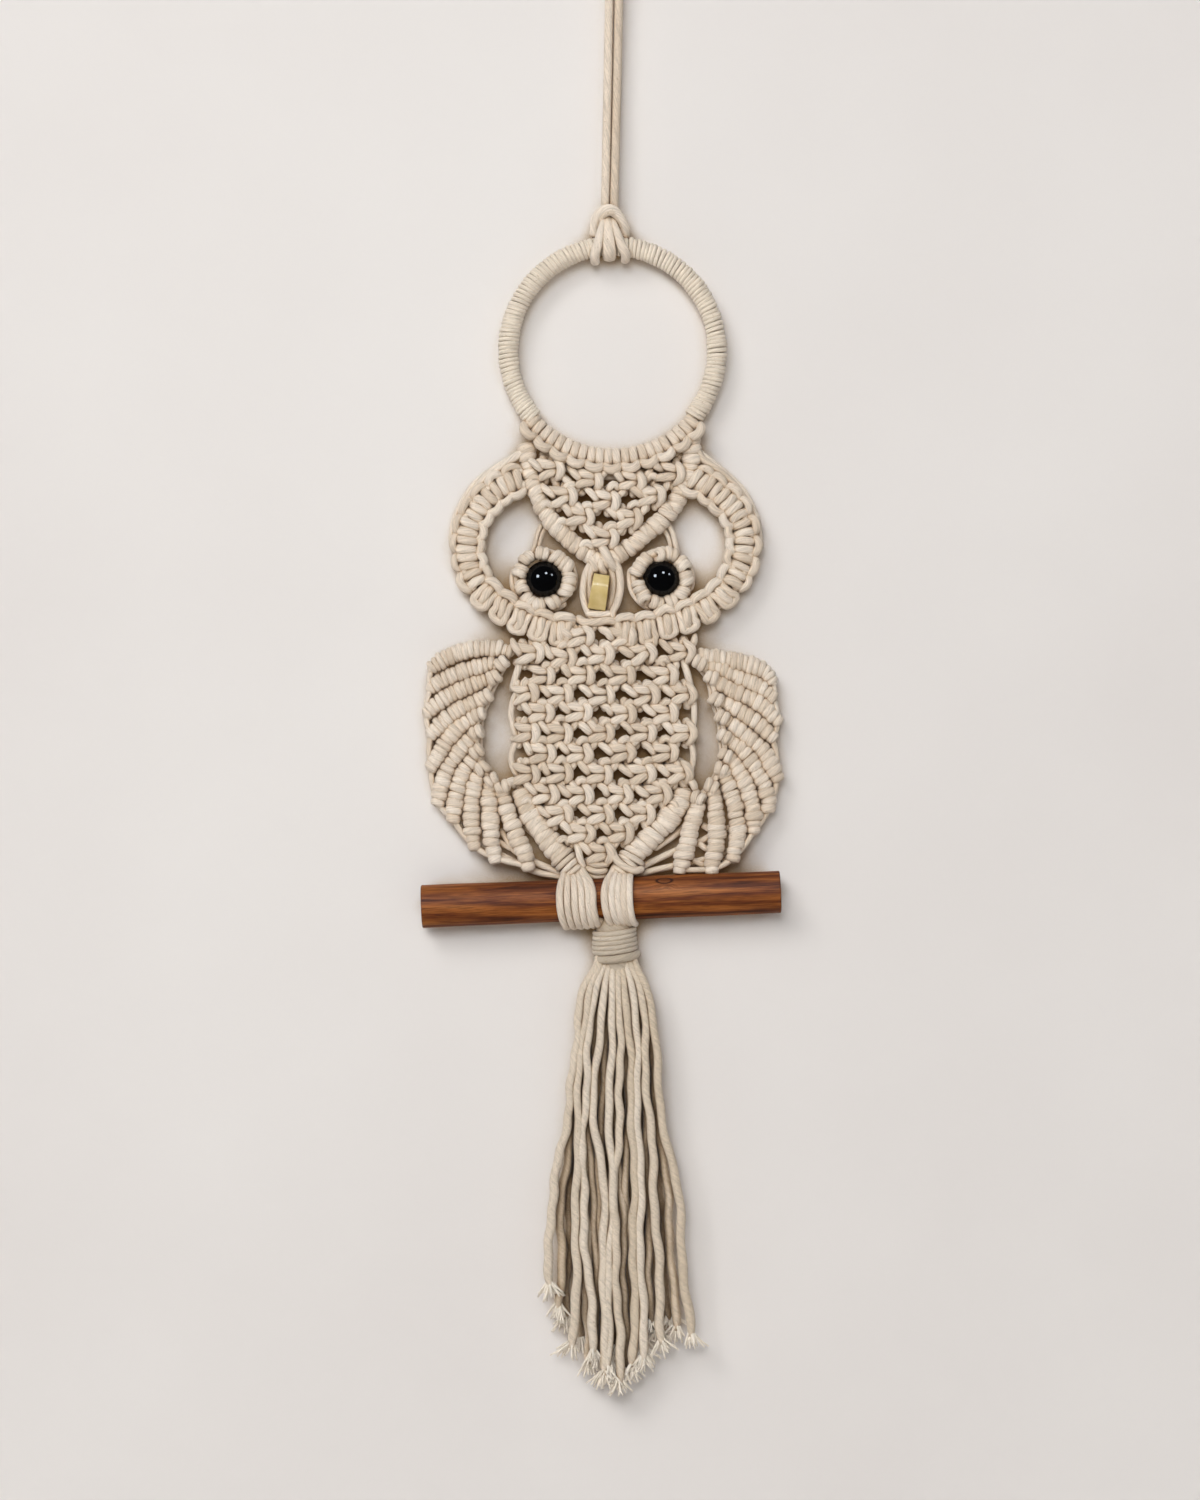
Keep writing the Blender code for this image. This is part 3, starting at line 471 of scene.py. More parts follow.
def square_knot(bundle, across, down, near, size):
    """A square knot with its bump on the right, and the cords that join it to the next ones."""
    lean = rng.normal(0, 0.08)
    across, down = across + rng.normal(0, 0.7), down + rng.normal(0, 0.6)
    c, s = math.cos(lean), math.sin(lean)
    parts = list(KNOT_CORDS[1:4] + KNOT_CORE)
    beside = [near(across - 20.5, down + 19.5 * side) for side in (-1, 1)]
    parts += [part for part, there in zip((KNOT_CORDS[0], KNOT_CORDS[4]), beside) if there]
    if not any(beside):
        parts[0], parts[2] = [(radius, slim, table[1:]) for radius, slim, table in (parts[0], parts[2])]
    parts += [part for (x, y), part in KNOT_JOINS.items() if near(across + 20.5 * x, down + 19.5 * y)]
    last_left, last_right = not near(across - 41, down), not near(across + 41, down)
    for radius, slim, table in parts:
        rows = np.array(table) + rng.normal(0, 0.45, (len(table), 3)) + (0.0, 0.0, rng.normal(0, 0.6))
        if last_left:
            rows[:, 0] = np.where(rows[:, 0] < -12, -12 + 0.45 * (rows[:, 0] + 12), rows[:, 0])
        if last_right:
            rows[:, 0] = np.where(rows[:, 0] > 13, 13 + 0.45 * (rows[:, 0] - 13), rows[:, 0])
        flat = np.stack([across + c * rows[:, 0] - s * rows[:, 1],
                         down + s * rows[:, 0] + c * rows[:, 1], rows[:, 2]], axis=1)
        line = smooth(spots(flat), 2.4 * PIXEL)
        fat = slim + (1.08 - slim) * np.sin(np.linspace(0, math.pi, len(line)))
        cord(bundle, line, radius * size * fat * (1 + 0.05 * rng.normal()), thin=0.92, outward=FRONT)
        if radius > 3.8:
            flat[:, 2] = -flat[:, 2] - 1.0
            cord(bundle, smooth(spots(flat), 3.6 * PIXEL), radius * size, sides=6)


def net(bundle, knots, size, sewn):
    """Sewn says where the net runs on into a bar, which hides its cords' ends."""
    def near(x, y):
        return sewn(y) or min(math.hypot(k[0] - x, k[1] - y) for k in knots) < 9

    for across, down in knots:
        square_knot(bundle, across, down, near, size)


# A unit of the eye loops: radius, then (along, inward, forward). Low down its two arms and its outer
# loop are one long bight; higher up they are short rungs between two edge loops
LOOP_BIGHT = (
    (4.5, ((-6.0, 12.0, -3.0), (-6.8, 8.6, 3.4), (-6.2, 3.0, 7.0), (-6.2, -4.0, 7.4),
           (-7.2, -9.0, 6.4), (-5.2, -12.0, 5.4), (0.0, -12.8, 5.4), (5.2, -12.0, 5.4),
           (7.2, -9.0, 6.4), (6.2, -4.0, 7.4), (6.2, 3.0, 7.0), (6.8, 8.6, 3.4),
           (6.0, 12.0, -3.0))),
    (4.6, ((0.8, -8.8, 6.0), (0.5, -3.0, 9.0), (-0.6, 3.0, 9.2), (-0.6, 10.0, 2.0))),
    (4.6, ((-10.4, 6.4, -2.0), (-9.2, 10.6, 4.2), (-5.0, 13.2, 8.0), (0.0, 13.8, 9.0),
           (5.0, 13.2, 8.0), (9.2, 10.6, 4.2), (10.4, 6.4, -2.0))),
)
LOOP_RUNGS = (
    (4.9, ((-4.6, -9.6, -2.0), (-4.7, -7.0, 4.4), (-4.3, 0.0, 7.8), (-4.2, 6.6, 4.6),
           (-4.2, 9.4, -1.0))),
    (4.9, ((4.2, -9.6, -2.0), (4.7, -7.0, 4.4), (4.3, 0.0, 7.8), (4.5, 6.6, 4.6),
           (4.2, 9.4, -1.0))),
    (4.4, ((-8.8, 5.6, -4.0), (-8.0, 10.0, 3.0), (-4.8, 13.6, 6.8), (0.0, 14.8, 8.0),
           (4.8, 13.6, 6.8), (8.0, 10.0, 3.0), (8.8, 5.6, -4.0))),
    (4.2, ((-8.8, -5.6, -4.0), (-8.0, -9.8, 2.0), (-4.8, -13.4, 5.4), (0.0, -14.6, 6.4),
           (4.8, -13.4, 5.4), (8.0, -9.8, 2.0), (8.8, -5.6, -4.0))),
)


def sinnet(bundle, table, centre, step=17.0, step_low=20.5):
    """A flat band of knots round an eye."""
    middle = spot(*centre)
    fine = smooth(spots(table), PIXEL)
    stations, run = [0], 0.0
    for number, place in enumerate(fine):
        run += 1
        if run >= (step_low if place[2] < spot(0, 588)[2] else step):
            stations.append(number)
            run = 0.0
    line = fine[stations]
    way = unit(np.gradient(fine, axis=0))[stations]
    cord(bundle, smooth(spots(table), 4 * PIXEL), 9.5, thin=0.42, outward=FRONT)
    for place, along in zip(line, way):
        inward = unit(np.cross(along, FRONT))
        if (middle - place) @ inward < 0:
            inward = -inward
        lean = rng.normal(0, 0.09)
        for radius, rows in LOOP_BIGHT if place[2] < spot(0, 588)[2] else LOOP_RUNGS:
            shape = np.array(rows) + rng.normal(0, 0.45, (len(rows), 3))
            shape[:, 0] += lean * shape[:, 1]
            for way_out in (1, -1):
                run = place + PIXEL * (shape[:, :1] * along + shape[:, 1:2] * inward
                                       + way_out * shape[:, 2:] * FRONT)
                cord(bundle, smooth(run, (2.6 if way_out > 0 else 3.8) * PIXEL),
                     radius * (1 + 0.05 * rng.normal()), sides=8 if way_out > 0 else 6)


def ring_spot(degrees, radius, forward=0.0):
    """A place round the ring, from its top and clockwise."""
    a = math.radians(degrees)
    x, y = RING_CENTRE
    return spot(x + radius * math.sin(a), y - radius * math.cos(a), forward)


# --- the parts of the owl ------------------------------------------------------------------------


def hanging_cord(bundle):
    for table in HANGING_STRANDS:
        cord(bundle, smooth(spots(table), 6 * PIXEL), 4.5)
    for radius, table in KNOT_ARCHES + KNOT_SIDES:
        drawn(bundle, radius, table)
    for half, (top_x, top_y), foot_x, drop in KNOT_TURNS:
        ring_y = RING_CENTRE[1] - math.sqrt(RING_RADIUS**2 - (foot_x - RING_CENTRE[0])**2)
        low = ring_y + BOUND_OUT
        rows = [(top_x, top_y, 7), (0.7 * top_x + 0.3 * foot_x, 232, 12),
                (0.35 * top_x + 0.65 * foot_x, ring_y - 1, 14.5), (foot_x, low - 3, 12.6),
                (foot_x, low + drop, 5), (foot_x, low + drop, -5), (foot_x, low - 4, -12.4),
                (0.35 * top_x + 0.65 * foot_x, ring_y - 3, -13.6),
                (0.7 * top_x + 0.3 * foot_x, 230, -10), (top_x, top_y, -6)]
        line = smooth(spots(rows), 2.6 * PIXEL)
        taper = np.interp(np.linspace(0, 1, len(line)), (0, 0.25, 0.75, 1), (0.6, 1, 1, 0.6))
        cord(bundle, line, half * taper, thin=min(1.0, 4.0 / half), outward=None)


def bound_ring(bundle):
    turns = np.cumsum(1 + 0.14 * rng.normal(size=BOUND_TURNS))
    turns = np.concatenate([[0], turns]) / turns[-1]
    out = BOUND_OUT - BOUND_CORD + 0.35 * rng.normal(size=BOUND_TURNS + 1)
    steps = 12
    whole = np.arange(BOUND_TURNS * steps + 1) / steps
    degrees = -BOUND_ANGLE + 2 * BOUND_ANGLE * np.interp(whole, range(BOUND_TURNS + 1), turns)
    reach = np.interp(whole, range(BOUND_TURNS + 1), out)
    line, away = [], []
    for t, d, h in zip(whole, degrees, reach):
        a = 2 * math.pi * t
        line.append(ring_spot(d, RING_RADIUS + h * math.cos(a), h * math.sin(a)))
        centre = ring_spot(d, RING_RADIUS)
        away.append(line[-1] - centre)
    cord(bundle, line, BOUND_CORD * 1.05, thin=0.9, outward=np.array(away), sides=7)
    core = np.array([ring_spot(d, RING_RADIUS) for d in np.arange(-BOUND_ANGLE, BOUND_ANGLE + 1, 5)])
    cord(bundle, core, BOUND_OUT - 2 * BOUND_CORD + 1.2)
    rod = np.array([ring_spot(d, RING_RADIUS) for d in np.arange(0, 360, 5)])
    middle = ring_spot(0, 0)
    cord(bundle, rod, ROD, outward=rod - middle, closed=True)


def lark_heads(bundle):
    """Lark's heads: each cord goes over the ring twice, and its middle lies across in front."""
    step = 2 * LARK_ANGLE / LARK_HEADS
    for number in range(LARK_HEADS):
        middle = 180 - LARK_ANGLE + (number + 0.5) * step + rng.normal(0, 0.25)
        for part in (-0.24, 0.24):
            d = middle + part * step
            lean = rng.normal(0, 0.5)
            angle = np.linspace(-0.5 * math.pi, 1.5 * math.pi, 16, endpoint=False)
            line = np.array([
                ring_spot(d + 0.25 * lean * math.cos(a), 108.6 - 7.9 * math.cos(a), 7.2 * math.sin(a))
                for a in angle
            ])
            cord(bundle, line, 4.7, thin=0.68, outward=line - ring_spot(d, 108.6), closed=True)
        reach = 0.37 * step
        rows = [ring_spot(middle + share * reach, radius, forward) for share, radius, forward in (
            (-1.1, 114, 1), (-0.9, 117.5, 7.5), (-0.4, 119.6, 10.4), (0.4, 119.6, 10.4),
            (0.9, 117.5, 7.5), (1.1, 114, 1))]
        cord(bundle, smooth(rows, 2.6 * PIXEL), 4.9)
    for radius, rise in ((121.5, -2.5), (126.0, -3.5)):
        rows = [ring_spot(d, radius, rise) for d in np.arange(142, 219, 6)]
        cord(bundle, smooth(rows, 4 * PIXEL), 3.8)


def rosette(bundle, across, down):
    middle = spot(across, down)
    count = 11
    for a in (np.arange(count) + rng.normal(0, 0.12, count)) * 2 * math.pi / count:
        out = np.array((math.cos(a), 0.0, -math.sin(a)))
        reach = ROSETTE_RADIUS + rng.normal(0, 0.8)
        half = 4.4 * (1 + 0.14 * rng.normal())
        along = unit(np.cross(out, FRONT) + rng.normal(0, 0.22, 3))
        for part in (-2.8, 2.8):
            wrap(bundle, middle + PIXEL * (reach * out + 3.8 * FRONT + part * along), along, half,
                 6.2 * (1 + 0.10 * rng.normal()), 4.4 * (1 + 0.10 * rng.normal()), 3.9,
                 slant=0.20 * rng.normal())
    circle = np.array([
        spot(across + 26 * math.cos(a), down + 26 * math.sin(a), 0)
        for a in np.linspace(0, 2 * math.pi, 44, endpoint=False)
    ])
    cord(bundle, circle, 5.0, outward=circle - middle, closed=True)
    for start, end, reach in ((1.9, 3.4, 32.0), (-0.7, 0.3, 31.0), (0.9, 1.7, 32.0)):
        rim = np.array([
            spot(across + reach * math.cos(a), down + reach * math.sin(a), 2.0 - 4 * abs(share))
            for a, share in zip(np.linspace(start, end, 14), np.linspace(-1, 1, 14))
        ])
        cord(bundle, rim, 2.9)
    drawn(bundle, 2.1, ((across, down - 24, 2), (across, down - 18, BEAD_FORWARD),
                        (across, down + 18, BEAD_FORWARD), (across, down + 24, 2)))


def wing(bundle, bars, pitches, knobs, way):
    for table, pitch in zip(bars, pitches):
        hitched_bar(bundle, table, 18.8, pitch, thick=3.1, depth=1.1, slant=0.10 * way, ends=(0.90, 0.80))
    drawn(bundle, 2.7, [(x, y, 4.0) for x, y in knobs])
    drawn(bundle, 3.0, [(x - 3 * way, y + 2, -3.0) for x, y in knobs])
    for x, y in knobs:
        axis = unit(np.array((way * 0.85, 0, -0.45)) + rng.normal(0, 0.12, 3))
        place = spot(x, y, 5.0) - PIXEL * 2.8 * axis
        for number in (0, 1):
            wrap(bundle, place + PIXEL * 6.4 * number * axis, axis, 4.4 + rng.normal(0, 0.3),
                 5.0, 3.9, 3.3, slant=rng.normal(0, 0.15))
    ends = [table[-1] for table in bars]
    for (x0, y0), (x1, y1) in zip(ends, ends[1:]):
        out = 2.2 * way
        drawn(bundle, 3.0, ((x0, y0, 0), (0.5 * (x0 + x1) + out, 0.5 * (y0 + y1), 1), (x1, y1, 0)))
        drawn(bundle, 3.0, ((x0 - out, y0 - 2, -4), (0.5 * (x0 + x1), 0.5 * (y0 + y1), -4.5),
                            (x1 - out, y1, -4)))


def perch_level(across):
    (x0, y0), (x1, y1) = PERCH_ENDS
    return y0 + (y1 - y0) * (across - x0) / (x1 - x0)


def legs(bundle):
    reach = PERCH_RADIUS + LEG_RADIUS + 0.8
    for (top_x, top_y), (front_x, _), (foot_x, foot_y) in LEGS:
        rows = [(top_x, top_y - 7, 3.0)]
        for degrees, x in ((72, 0.55 * top_x + 0.45 * front_x), (45, 0.22 * top_x + 0.78 * front_x),
                           (18, front_x), (-12, 0.9 * front_x + 0.1 * foot_x),
                           (-40, 0.5 * (front_x + foot_x)), (-66, foot_x), (-88, foot_x + 2)):
            a = math.radians(degrees)
            rows.append((x, perch_level(x) - reach * math.sin(a), reach * math.cos(a)))
        rows.append((0.85 * foot_x + 0.15 * 614, foot_y - 7, -9))
        line = smooth(spots(rows), 3 * PIXEL)
        axis = np.array([spot(x / PIXEL + ORIGIN_ACROSS, perch_level(x / PIXEL + ORIGIN_ACROSS)) for x in line[:, 0]])
        cord(bundle, line, 0.96 * LEG_RADIUS * (1 + 0.04 * rng.normal()), thin=0.88,
             outward=unit(line - axis) + 0.5 * FRONT)
        back = [(x, y, -f * (0.98 if f > 0 else 1)) for x, y, f in rows]
        cord(bundle, smooth(spots(back), 4 * PIXEL), LEG_RADIUS)
    for (x0, y0, first), (x1, y1, last), count in LEG_BANDS:
        start, end = spot(x0, y0, 1.0), spot(x1, y1, 2.0)
        for share in np.linspace(0, 1, count):
            half = first + (last - first) * share
            wrap(bundle, start + share * (end - start), end - start, half, 0.92 * half, 3.1, 2.7,
                 slant=rng.normal(0, 0.06), points=20)
        cord(bundle, smooth([start, end], 3 * PIXEL), last - 1.0, thin=0.85, outward=FRONT)
    for radius, table in NECK_CORDS:
        drawn(bundle, radius, table)


def tassel_head(bundle):
    for across, down, half, radius in HEAD_TURNS:
        angle = np.linspace(0, 2 * math.pi, 28, endpoint=False)
        line = np.array([
            spot(across + half * math.cos(a), down - 0.12 * half * math.cos(a) + 2.2 * math.sin(a),
                 0.74 * half * math.sin(a)) for a in angle])
        away = line - spot(across, down)
        cord(bundle, line, radius, thin=0.9, outward=away, closed=True)
    cord(bundle, smooth(spots(((614.5, 926, 0), (614.8, 944, 0), (617, 962, 0))), 4 * PIXEL), 18.4,
         thin=0.72, outward=FRONT, sides=24)


def fray(bundle, end, heading):
    """The cord's own fibres, spread out below its cut end."""
    side = unit(np.cross(heading, FRONT))
    for _ in range(FRAY_FIBRES):
        spread = rng.normal(0, 0.40)
        depth = rng.normal(0, 0.30)
        length = FRAY_LENGTH * rng.uniform(0.55, 1.15) * PIXEL
        way = unit(heading + spread * side + depth * FRONT)
        curl = rng.normal(0, 0.35) * side + rng.normal(0, 0.2) * FRONT
        start = end + PIXEL * 3.0 * (spread * side + depth * FRONT)
        t = np.linspace(0, 1, 6)[:, None]
        line = start + length * (t * way + t**2 * 0.5 * curl)
        cord(bundle, line, np.linspace(1.5, 0.8, 6), sides=5, tips="cut")


def tassel_strands(bundle, loose):
    for layer, (x0, x1, x2, x3, end_x, end_y) in TASSEL:
        depth = TASSEL_LAYER * layer
        rows = [(0.75 * x0 + 0.25 * 614.5, 950, 0.45 * depth), (x0, 966, 0.8 * depth),
                (x1, 1000, depth), (x2, 1100, depth), (x3, 1200, depth)]
        if end_y > 1240:
            rows.append((0.45 * x3 + 0.55 * end_x, 0.45 * 1200 + 0.55 * end_y, depth))
        rows.append((end_x, end_y - 12, depth))
        line = smooth(spots(rows), 5 * PIXEL)
        share = np.linspace(0, 1, len(line))
        for axis, size in ((0, 1.5), (1, 0.8)):
            phase, waves = rng.uniform(0, 6.28), rng.uniform(2.5, 4.5)
            wave = np.sin(phase + 6.28 * waves * share) + 0.5 * np.sin(2.3 * phase + 6.28 * 2.7 * waves * share)
            line[:, axis] += PIXEL * size * wave * np.clip(4 * share, 0, 1)
        radius = TASSEL_CORD * (0.86 + 0.20 * share) * (1 + 0.04 * np.sin(share * 60 + rng.uniform(0, 6)))
        radius[-3:] *= (0.97, 0.86, 0.70)
        cord(bundle, line, radius, sides=10, twist=ROPE_TWIST)
        fray(loose, line[-1] - 3 * PIXEL * unit(line[-1] - line[-4]), unit(line[-1] - line[-4]))


# --- beads and perch -----------------------------------------------------------------------------


def settle(obj):
    """The piece's place put into its mesh, with its object left at the origin."""
    bpy.ops.object.select_all(action="DESELECT")
    obj.select_set(True)
    bpy.context.view_layer.objects.active = obj
    bpy.ops.object.transform_apply(location=True, rotation=True, scale=True)
    return obj


def apply_all(obj):
    bpy.ops.object.select_all(action="DESELECT")
    obj.select_set(True)
    bpy.context.view_layer.objects.active = obj
    for modifier in list(obj.modifiers):
        bpy.ops.object.modifier_apply(modifier=modifier.name)
    return obj


def bored(obj, radius, length):
    """A hole through the bead from top to bottom, with its rim rounded."""
    bpy.ops.object.select_all(action="DESELECT")
    bpy.ops.mesh.primitive_cylinder_add(vertices=32, radius=radius, depth=length, location=(0, 0, 0))
    drill = bpy.context.object
    hole = obj.modifiers.new("hole", "BOOLEAN")
    hole.operation = "DIFFERENCE"
    hole.solver = "EXACT"
    hole.object = drill
    rim = obj.modifiers.new("rim", "BEVEL")
    rim.width = 0.0003
    rim.segments = 3
    rim.limit_method = "ANGLE"
    rim.angle_limit = math.radians(40)
    apply_all(obj)
    bpy.data.objects.remove(drill, do_unlink=True)


def eye_bead(name, across, down, material, node):
    bpy.ops.object.select_all(action="DESELECT")
    bpy.ops.mesh.primitive_uv_sphere_add(segments=64, ring_count=40, radius=BEAD_RADIUS * PIXEL)
    bead = bpy.context.object
    bead.name = name
    bead.scale = (1, 0.98, 0.97)
    bored(bead, 0.0014, 0.03)
    bead.location = spot(across, down, BEAD_FORWARD)
    settle(bead)
    bead.data.shade_smooth()
    return dressed(bead, material, node)


def beak_bead(material):
    bpy.ops.object.select_all(action="DESELECT")
    bpy.ops.mesh.primitive_cube_add(size=1)
    bead = bpy.context.object
    bead.name = "beak_bead"
    bead.scale = BEAK_SIZE
    bpy.ops.object.transform_apply(location=False, rotation=False, scale=True)
    bpy.ops.object.mode_set(mode="EDIT")
    bpy.ops.mesh.select_all(action="SELECT")
    bpy.ops.mesh.subdivide(number_cuts=9)
    bpy.ops.object.mode_set(mode="OBJECT")
    half = 0.5 * BEAK_SIZE[2]
    for vertex in bead.data.vertices:
        share = vertex.co.z / half
        vertex.co.x *= 1 - 0.06 * share
        vertex.co.y -= 0.0042 * (1 - abs(share - 0.15) ** 1.6)
    edges = bead.modifiers.new("edges", "BEVEL")
    edges.width = 0.0010
    edges.segments = 4
    edges.limit_method = "ANGLE"
    edges.angle_limit = math.radians(40)
    apply_all(bead)
    bored(bead, 0.0014, 0.03)
    bead.rotation_euler = (0, math.radians(BEAK_LEAN), 0)
    bead.location = spot(*BEAK_PLACE)
    settle(bead)
    bead.data.shade_smooth()
    return dressed(bead, material, "beak")


def perch(material):
    """A round stick: its skin wanders a little, and its sawn ends are bevelled."""
    left, right = spot(*PERCH_ENDS[0]), spot(*PERCH_ENDS[1])
    run = right - left
    length = float(np.linalg.norm(run))
    bpy.ops.object.select_all(action="DESELECT")
    bpy.ops.mesh.primitive_cylinder_add(vertices=96, radius=PERCH_RADIUS * PIXEL, depth=length)
    stick = bpy.context.object
    stick.name = "wooden_perch"
    bpy.ops.object.mode_set(mode="EDIT")
    bpy.ops.mesh.select_all(action="DESELECT")
    bpy.ops.object.mode_set(mode="OBJECT")
    for polygon in stick.data.polygons:
        polygon.select = abs(polygon.normal.z) > 0.9
    bpy.ops.object.mode_set(mode="EDIT")
    bpy.ops.mesh.inset(thickness=0.0010, depth=0.00015)
    bpy.ops.mesh.inset(thickness=0.0040, depth=-0.0002)
    bpy.ops.mesh.select_all(action="DESELECT")
    bpy.ops.object.mode_set(mode="OBJECT")
    shape = bmesh.new()
    shape.from_mesh(stick.data)
    long_edges = [e for e in shape.edges if abs(e.verts[0].co.z - e.verts[1].co.z) > 0.5 * length]
    bmesh.ops.subdivide_edges(shape, edges=long_edges, cuts=60)
    for vertex in shape.verts:
        x, y, z = vertex.co
        angle = math.atan2(y, x)
        swell = 0.00010 * math.sin(55 * z + 2 * angle) + 0.00006 * math.sin(130 * z - 3 * angle)
        factor = 1 + swell / (PERCH_RADIUS * PIXEL)
        vertex.co.x *= factor
        vertex.co.y *= factor
    shape.to_mesh(stick.data)
    shape.free()
    rim = stick.modifiers.new("rim", "BEVEL")
    rim.width = 0.0005
    rim.segments = 2
    rim.limit_method = "ANGLE"
    rim.angle_limit = math.radians(50)
    apply_all(stick)
    stick.rotation_euler = (0, math.atan2(run[0], run[2]), 0)
    stick.location = 0.5 * (left + right)
    settle(stick)
    stick.data.shade_smooth()
    stick.data.set_sharp_from_angle(angle=math.radians(50))
    return dressed(stick, material, "perch")


# --- materials -----------------------------------------------------------------------------------


def linear(hex_colour):
    """An sRGB hex colour as the linear colour a shader takes."""
    values = [int(hex_colour[i:i + 2], 16) / 255 for i in (1, 3, 5)]
    return tuple(v / 12.92 if v <= 0.04045 else ((v + 0.055) / 1.055) ** 2.4 for v in values) + (1,)


def new_material(name):
    made = bpy.data.materials.new(name)
    made.use_nodes = True
    tree = made.node_tree
    tree.nodes.clear()
    return made, tree


def node(tree, kind, settings=None, **inputs):
    """Adds a node with its settings. An input given as a socket is linked."""
    made = tree.nodes.new(kind)
    for key, value in (settings or {}).items():
        setattr(made, key, value)
    for key, value in inputs.items():
        socket = made.inputs[int(key[1:]) if key[0] == "i" and key[1:].isdigit() else key.replace("_", " ")]
        if isinstance(value, bpy.types.NodeSocket):
            tree.links.new(value, socket)
        else:
            socket.default_value = value
    return made


def ramp(tree, factor, stops, interpolation="LINEAR"):
    made = node(tree, "ShaderNodeValToRGB", i0=factor)
    band = made.color_ramp
    band.interpolation = interpolation
    while len(band.elements) < len(stops):
        band.elements.new(0.5)
    for element, (place, colour) in zip(band.elements, stops):
        element.position = place
        element.color = linear(colour) if isinstance(colour, str) else (colour, colour, colour, 1)
    return made.outputs["Color"]


# Painted shade: colours by which the cotton is darkened where other cords lie close, for the cords and, darker, for
# the tassel
CLOSE_SHADE = ((0.05, "#684E33"), (0.28, "#C6B092"), (0.53, "#F4EADB"), (0.78, "#FFFFFF"))
TASSEL_SHADE = ((0.08, "#2A1D11"), (0.32, "#846C4E"), (0.56, "#DCCBB2"), (0.80, "#FFFFFF"))


def cotton_cord(name, light, mid, dark, marks, ply, near=0.0034, painted_shade_strength=1.0, relief=0.7,
                shade=CLOSE_SHADE):
    """Natural cotton cord, twisted from soft strands and not dyed: matt, with a faint fibre lay, a shallow groove
    between its strands, and cords that differ a little from each other. Its colour also carries painted shade: darker
    in that groove, and browner where other cords lie close."""
    made, tree = new_material(name)
    lay = node(tree, "ShaderNodeAttribute", {"attribute_name": "lay"}).outputs["Vector"]
    tint = node(tree, "ShaderNodeAttribute", {"attribute_name": "tint"}).outputs["Fac"]
    parts = node(tree, "ShaderNodeSeparateXYZ", i0=lay)
    angle = node(tree, "ShaderNodeMath", {"operation": "ARCTAN2"},
                 i0=parts.outputs["Y"], i1=parts.outputs["X"]).outputs[0]
    thrice = node(tree, "ShaderNodeMath", {"operation": "MULTIPLY"}, i0=angle, i1=3.0).outputs[0]
    groove = node(tree, "ShaderNodeMath", {"operation": "COSINE"}, i0=thrice).outputs[0]
    # Bundles of fibre about 0.5 mm wide and 8 mm long
    along = node(tree, "ShaderNodeMapping", i0=lay)
    along.inputs["Scale"].default_value = (3.4, 3.4, 120.0)
    fibre = node(tree, "ShaderNodeTexNoise", i0=along.outputs[0], Scale=1.0, Detail=3.0,
                 Roughness=0.6).outputs["Fac"]
    object_place = node(tree, "ShaderNodeTexCoord").outputs["Object"]
    # Clouds of tone about 30 mm across, and flecks of seed husk under 1 mm
    cloud = node(tree, "ShaderNodeTexNoise", i0=object_place, Scale=34.0, Detail=2.0).outputs["Fac"]
    fleck = node(tree, "ShaderNodeTexNoise", i0=object_place, Scale=900.0, Detail=1.0).outputs["Fac"]
    tone = node(tree, "ShaderNodeMix", {"data_type": "FLOAT"}, i0=0.45, i2=tint, i3=cloud).outputs[0]
    base = ramp(tree, tone, ((0.15, dark), (0.5, mid), (0.85, light)))
    streak = ramp(tree, fibre, ((0.32, 0.66), (0.60, 1.0)))
    shaded = node(tree, "ShaderNodeMix", {"data_type": "RGBA", "blend_type": "MULTIPLY"},
                  i0=0.8, i6=base, i7=streak).outputs[2]
    # Painted shade: the colour is made darker in the groove between the strands, by the share given as marks
    painted_groove_shade = ramp(tree, groove, ((0.0, 1.0 - marks), (0.35, 1.0)))
    shaded = node(tree, "ShaderNodeMix", {"data_type": "RGBA", "blend_type": "MULTIPLY"},
                  i0=1.0, i6=shaded, i7=painted_groove_shade).outputs[2]
    specks = ramp(tree, fleck, ((0.70, 0.0), (0.76, 0.45)))
    coloured = node(tree, "ShaderNodeMix", {"data_type": "RGBA"},
                    i0=specks, i6=shaded, i7=linear("#A98C66")).outputs[2]
    # Painted shade: the colour is darkened to brown where other cords lie within a few millimetres, standing in for
    # the shade in the creases between them
    painted_shade_occlusion = node(tree, "ShaderNodeAmbientOcclusion", {"samples": 6}, Distance=near).outputs["AO"]
    painted_shade_colour = ramp(tree, painted_shade_occlusion, shade)
    coloured = node(tree, "ShaderNodeMix", {"data_type": "RGBA", "blend_type": "MULTIPLY"},
                    i0=painted_shade_strength, i6=coloured, i7=painted_shade_colour).outputs[2]
    height = node(tree, "ShaderNodeMath", {"operation": "MULTIPLY_ADD"},
                  i0=groove, i1=ply, i2=fibre).outputs[0]
    bump = node(tree, "ShaderNodeBump", Strength=relief, Distance=0.0006, Height=height)
    shader = node(tree, "ShaderNodeBsdfPrincipled", Base_Color=coloured, Roughness=0.92,
                  Normal=bump.outputs[0])
    shader.inputs["Specular IOR Level"].default_value = 0.25
    shader.inputs["Sheen Weight"].default_value = 0.25
    shader.inputs["Sheen Roughness"].default_value = 0.6
    node(tree, "ShaderNodeOutputMaterial", Surface=shader.outputs[0])
    return made


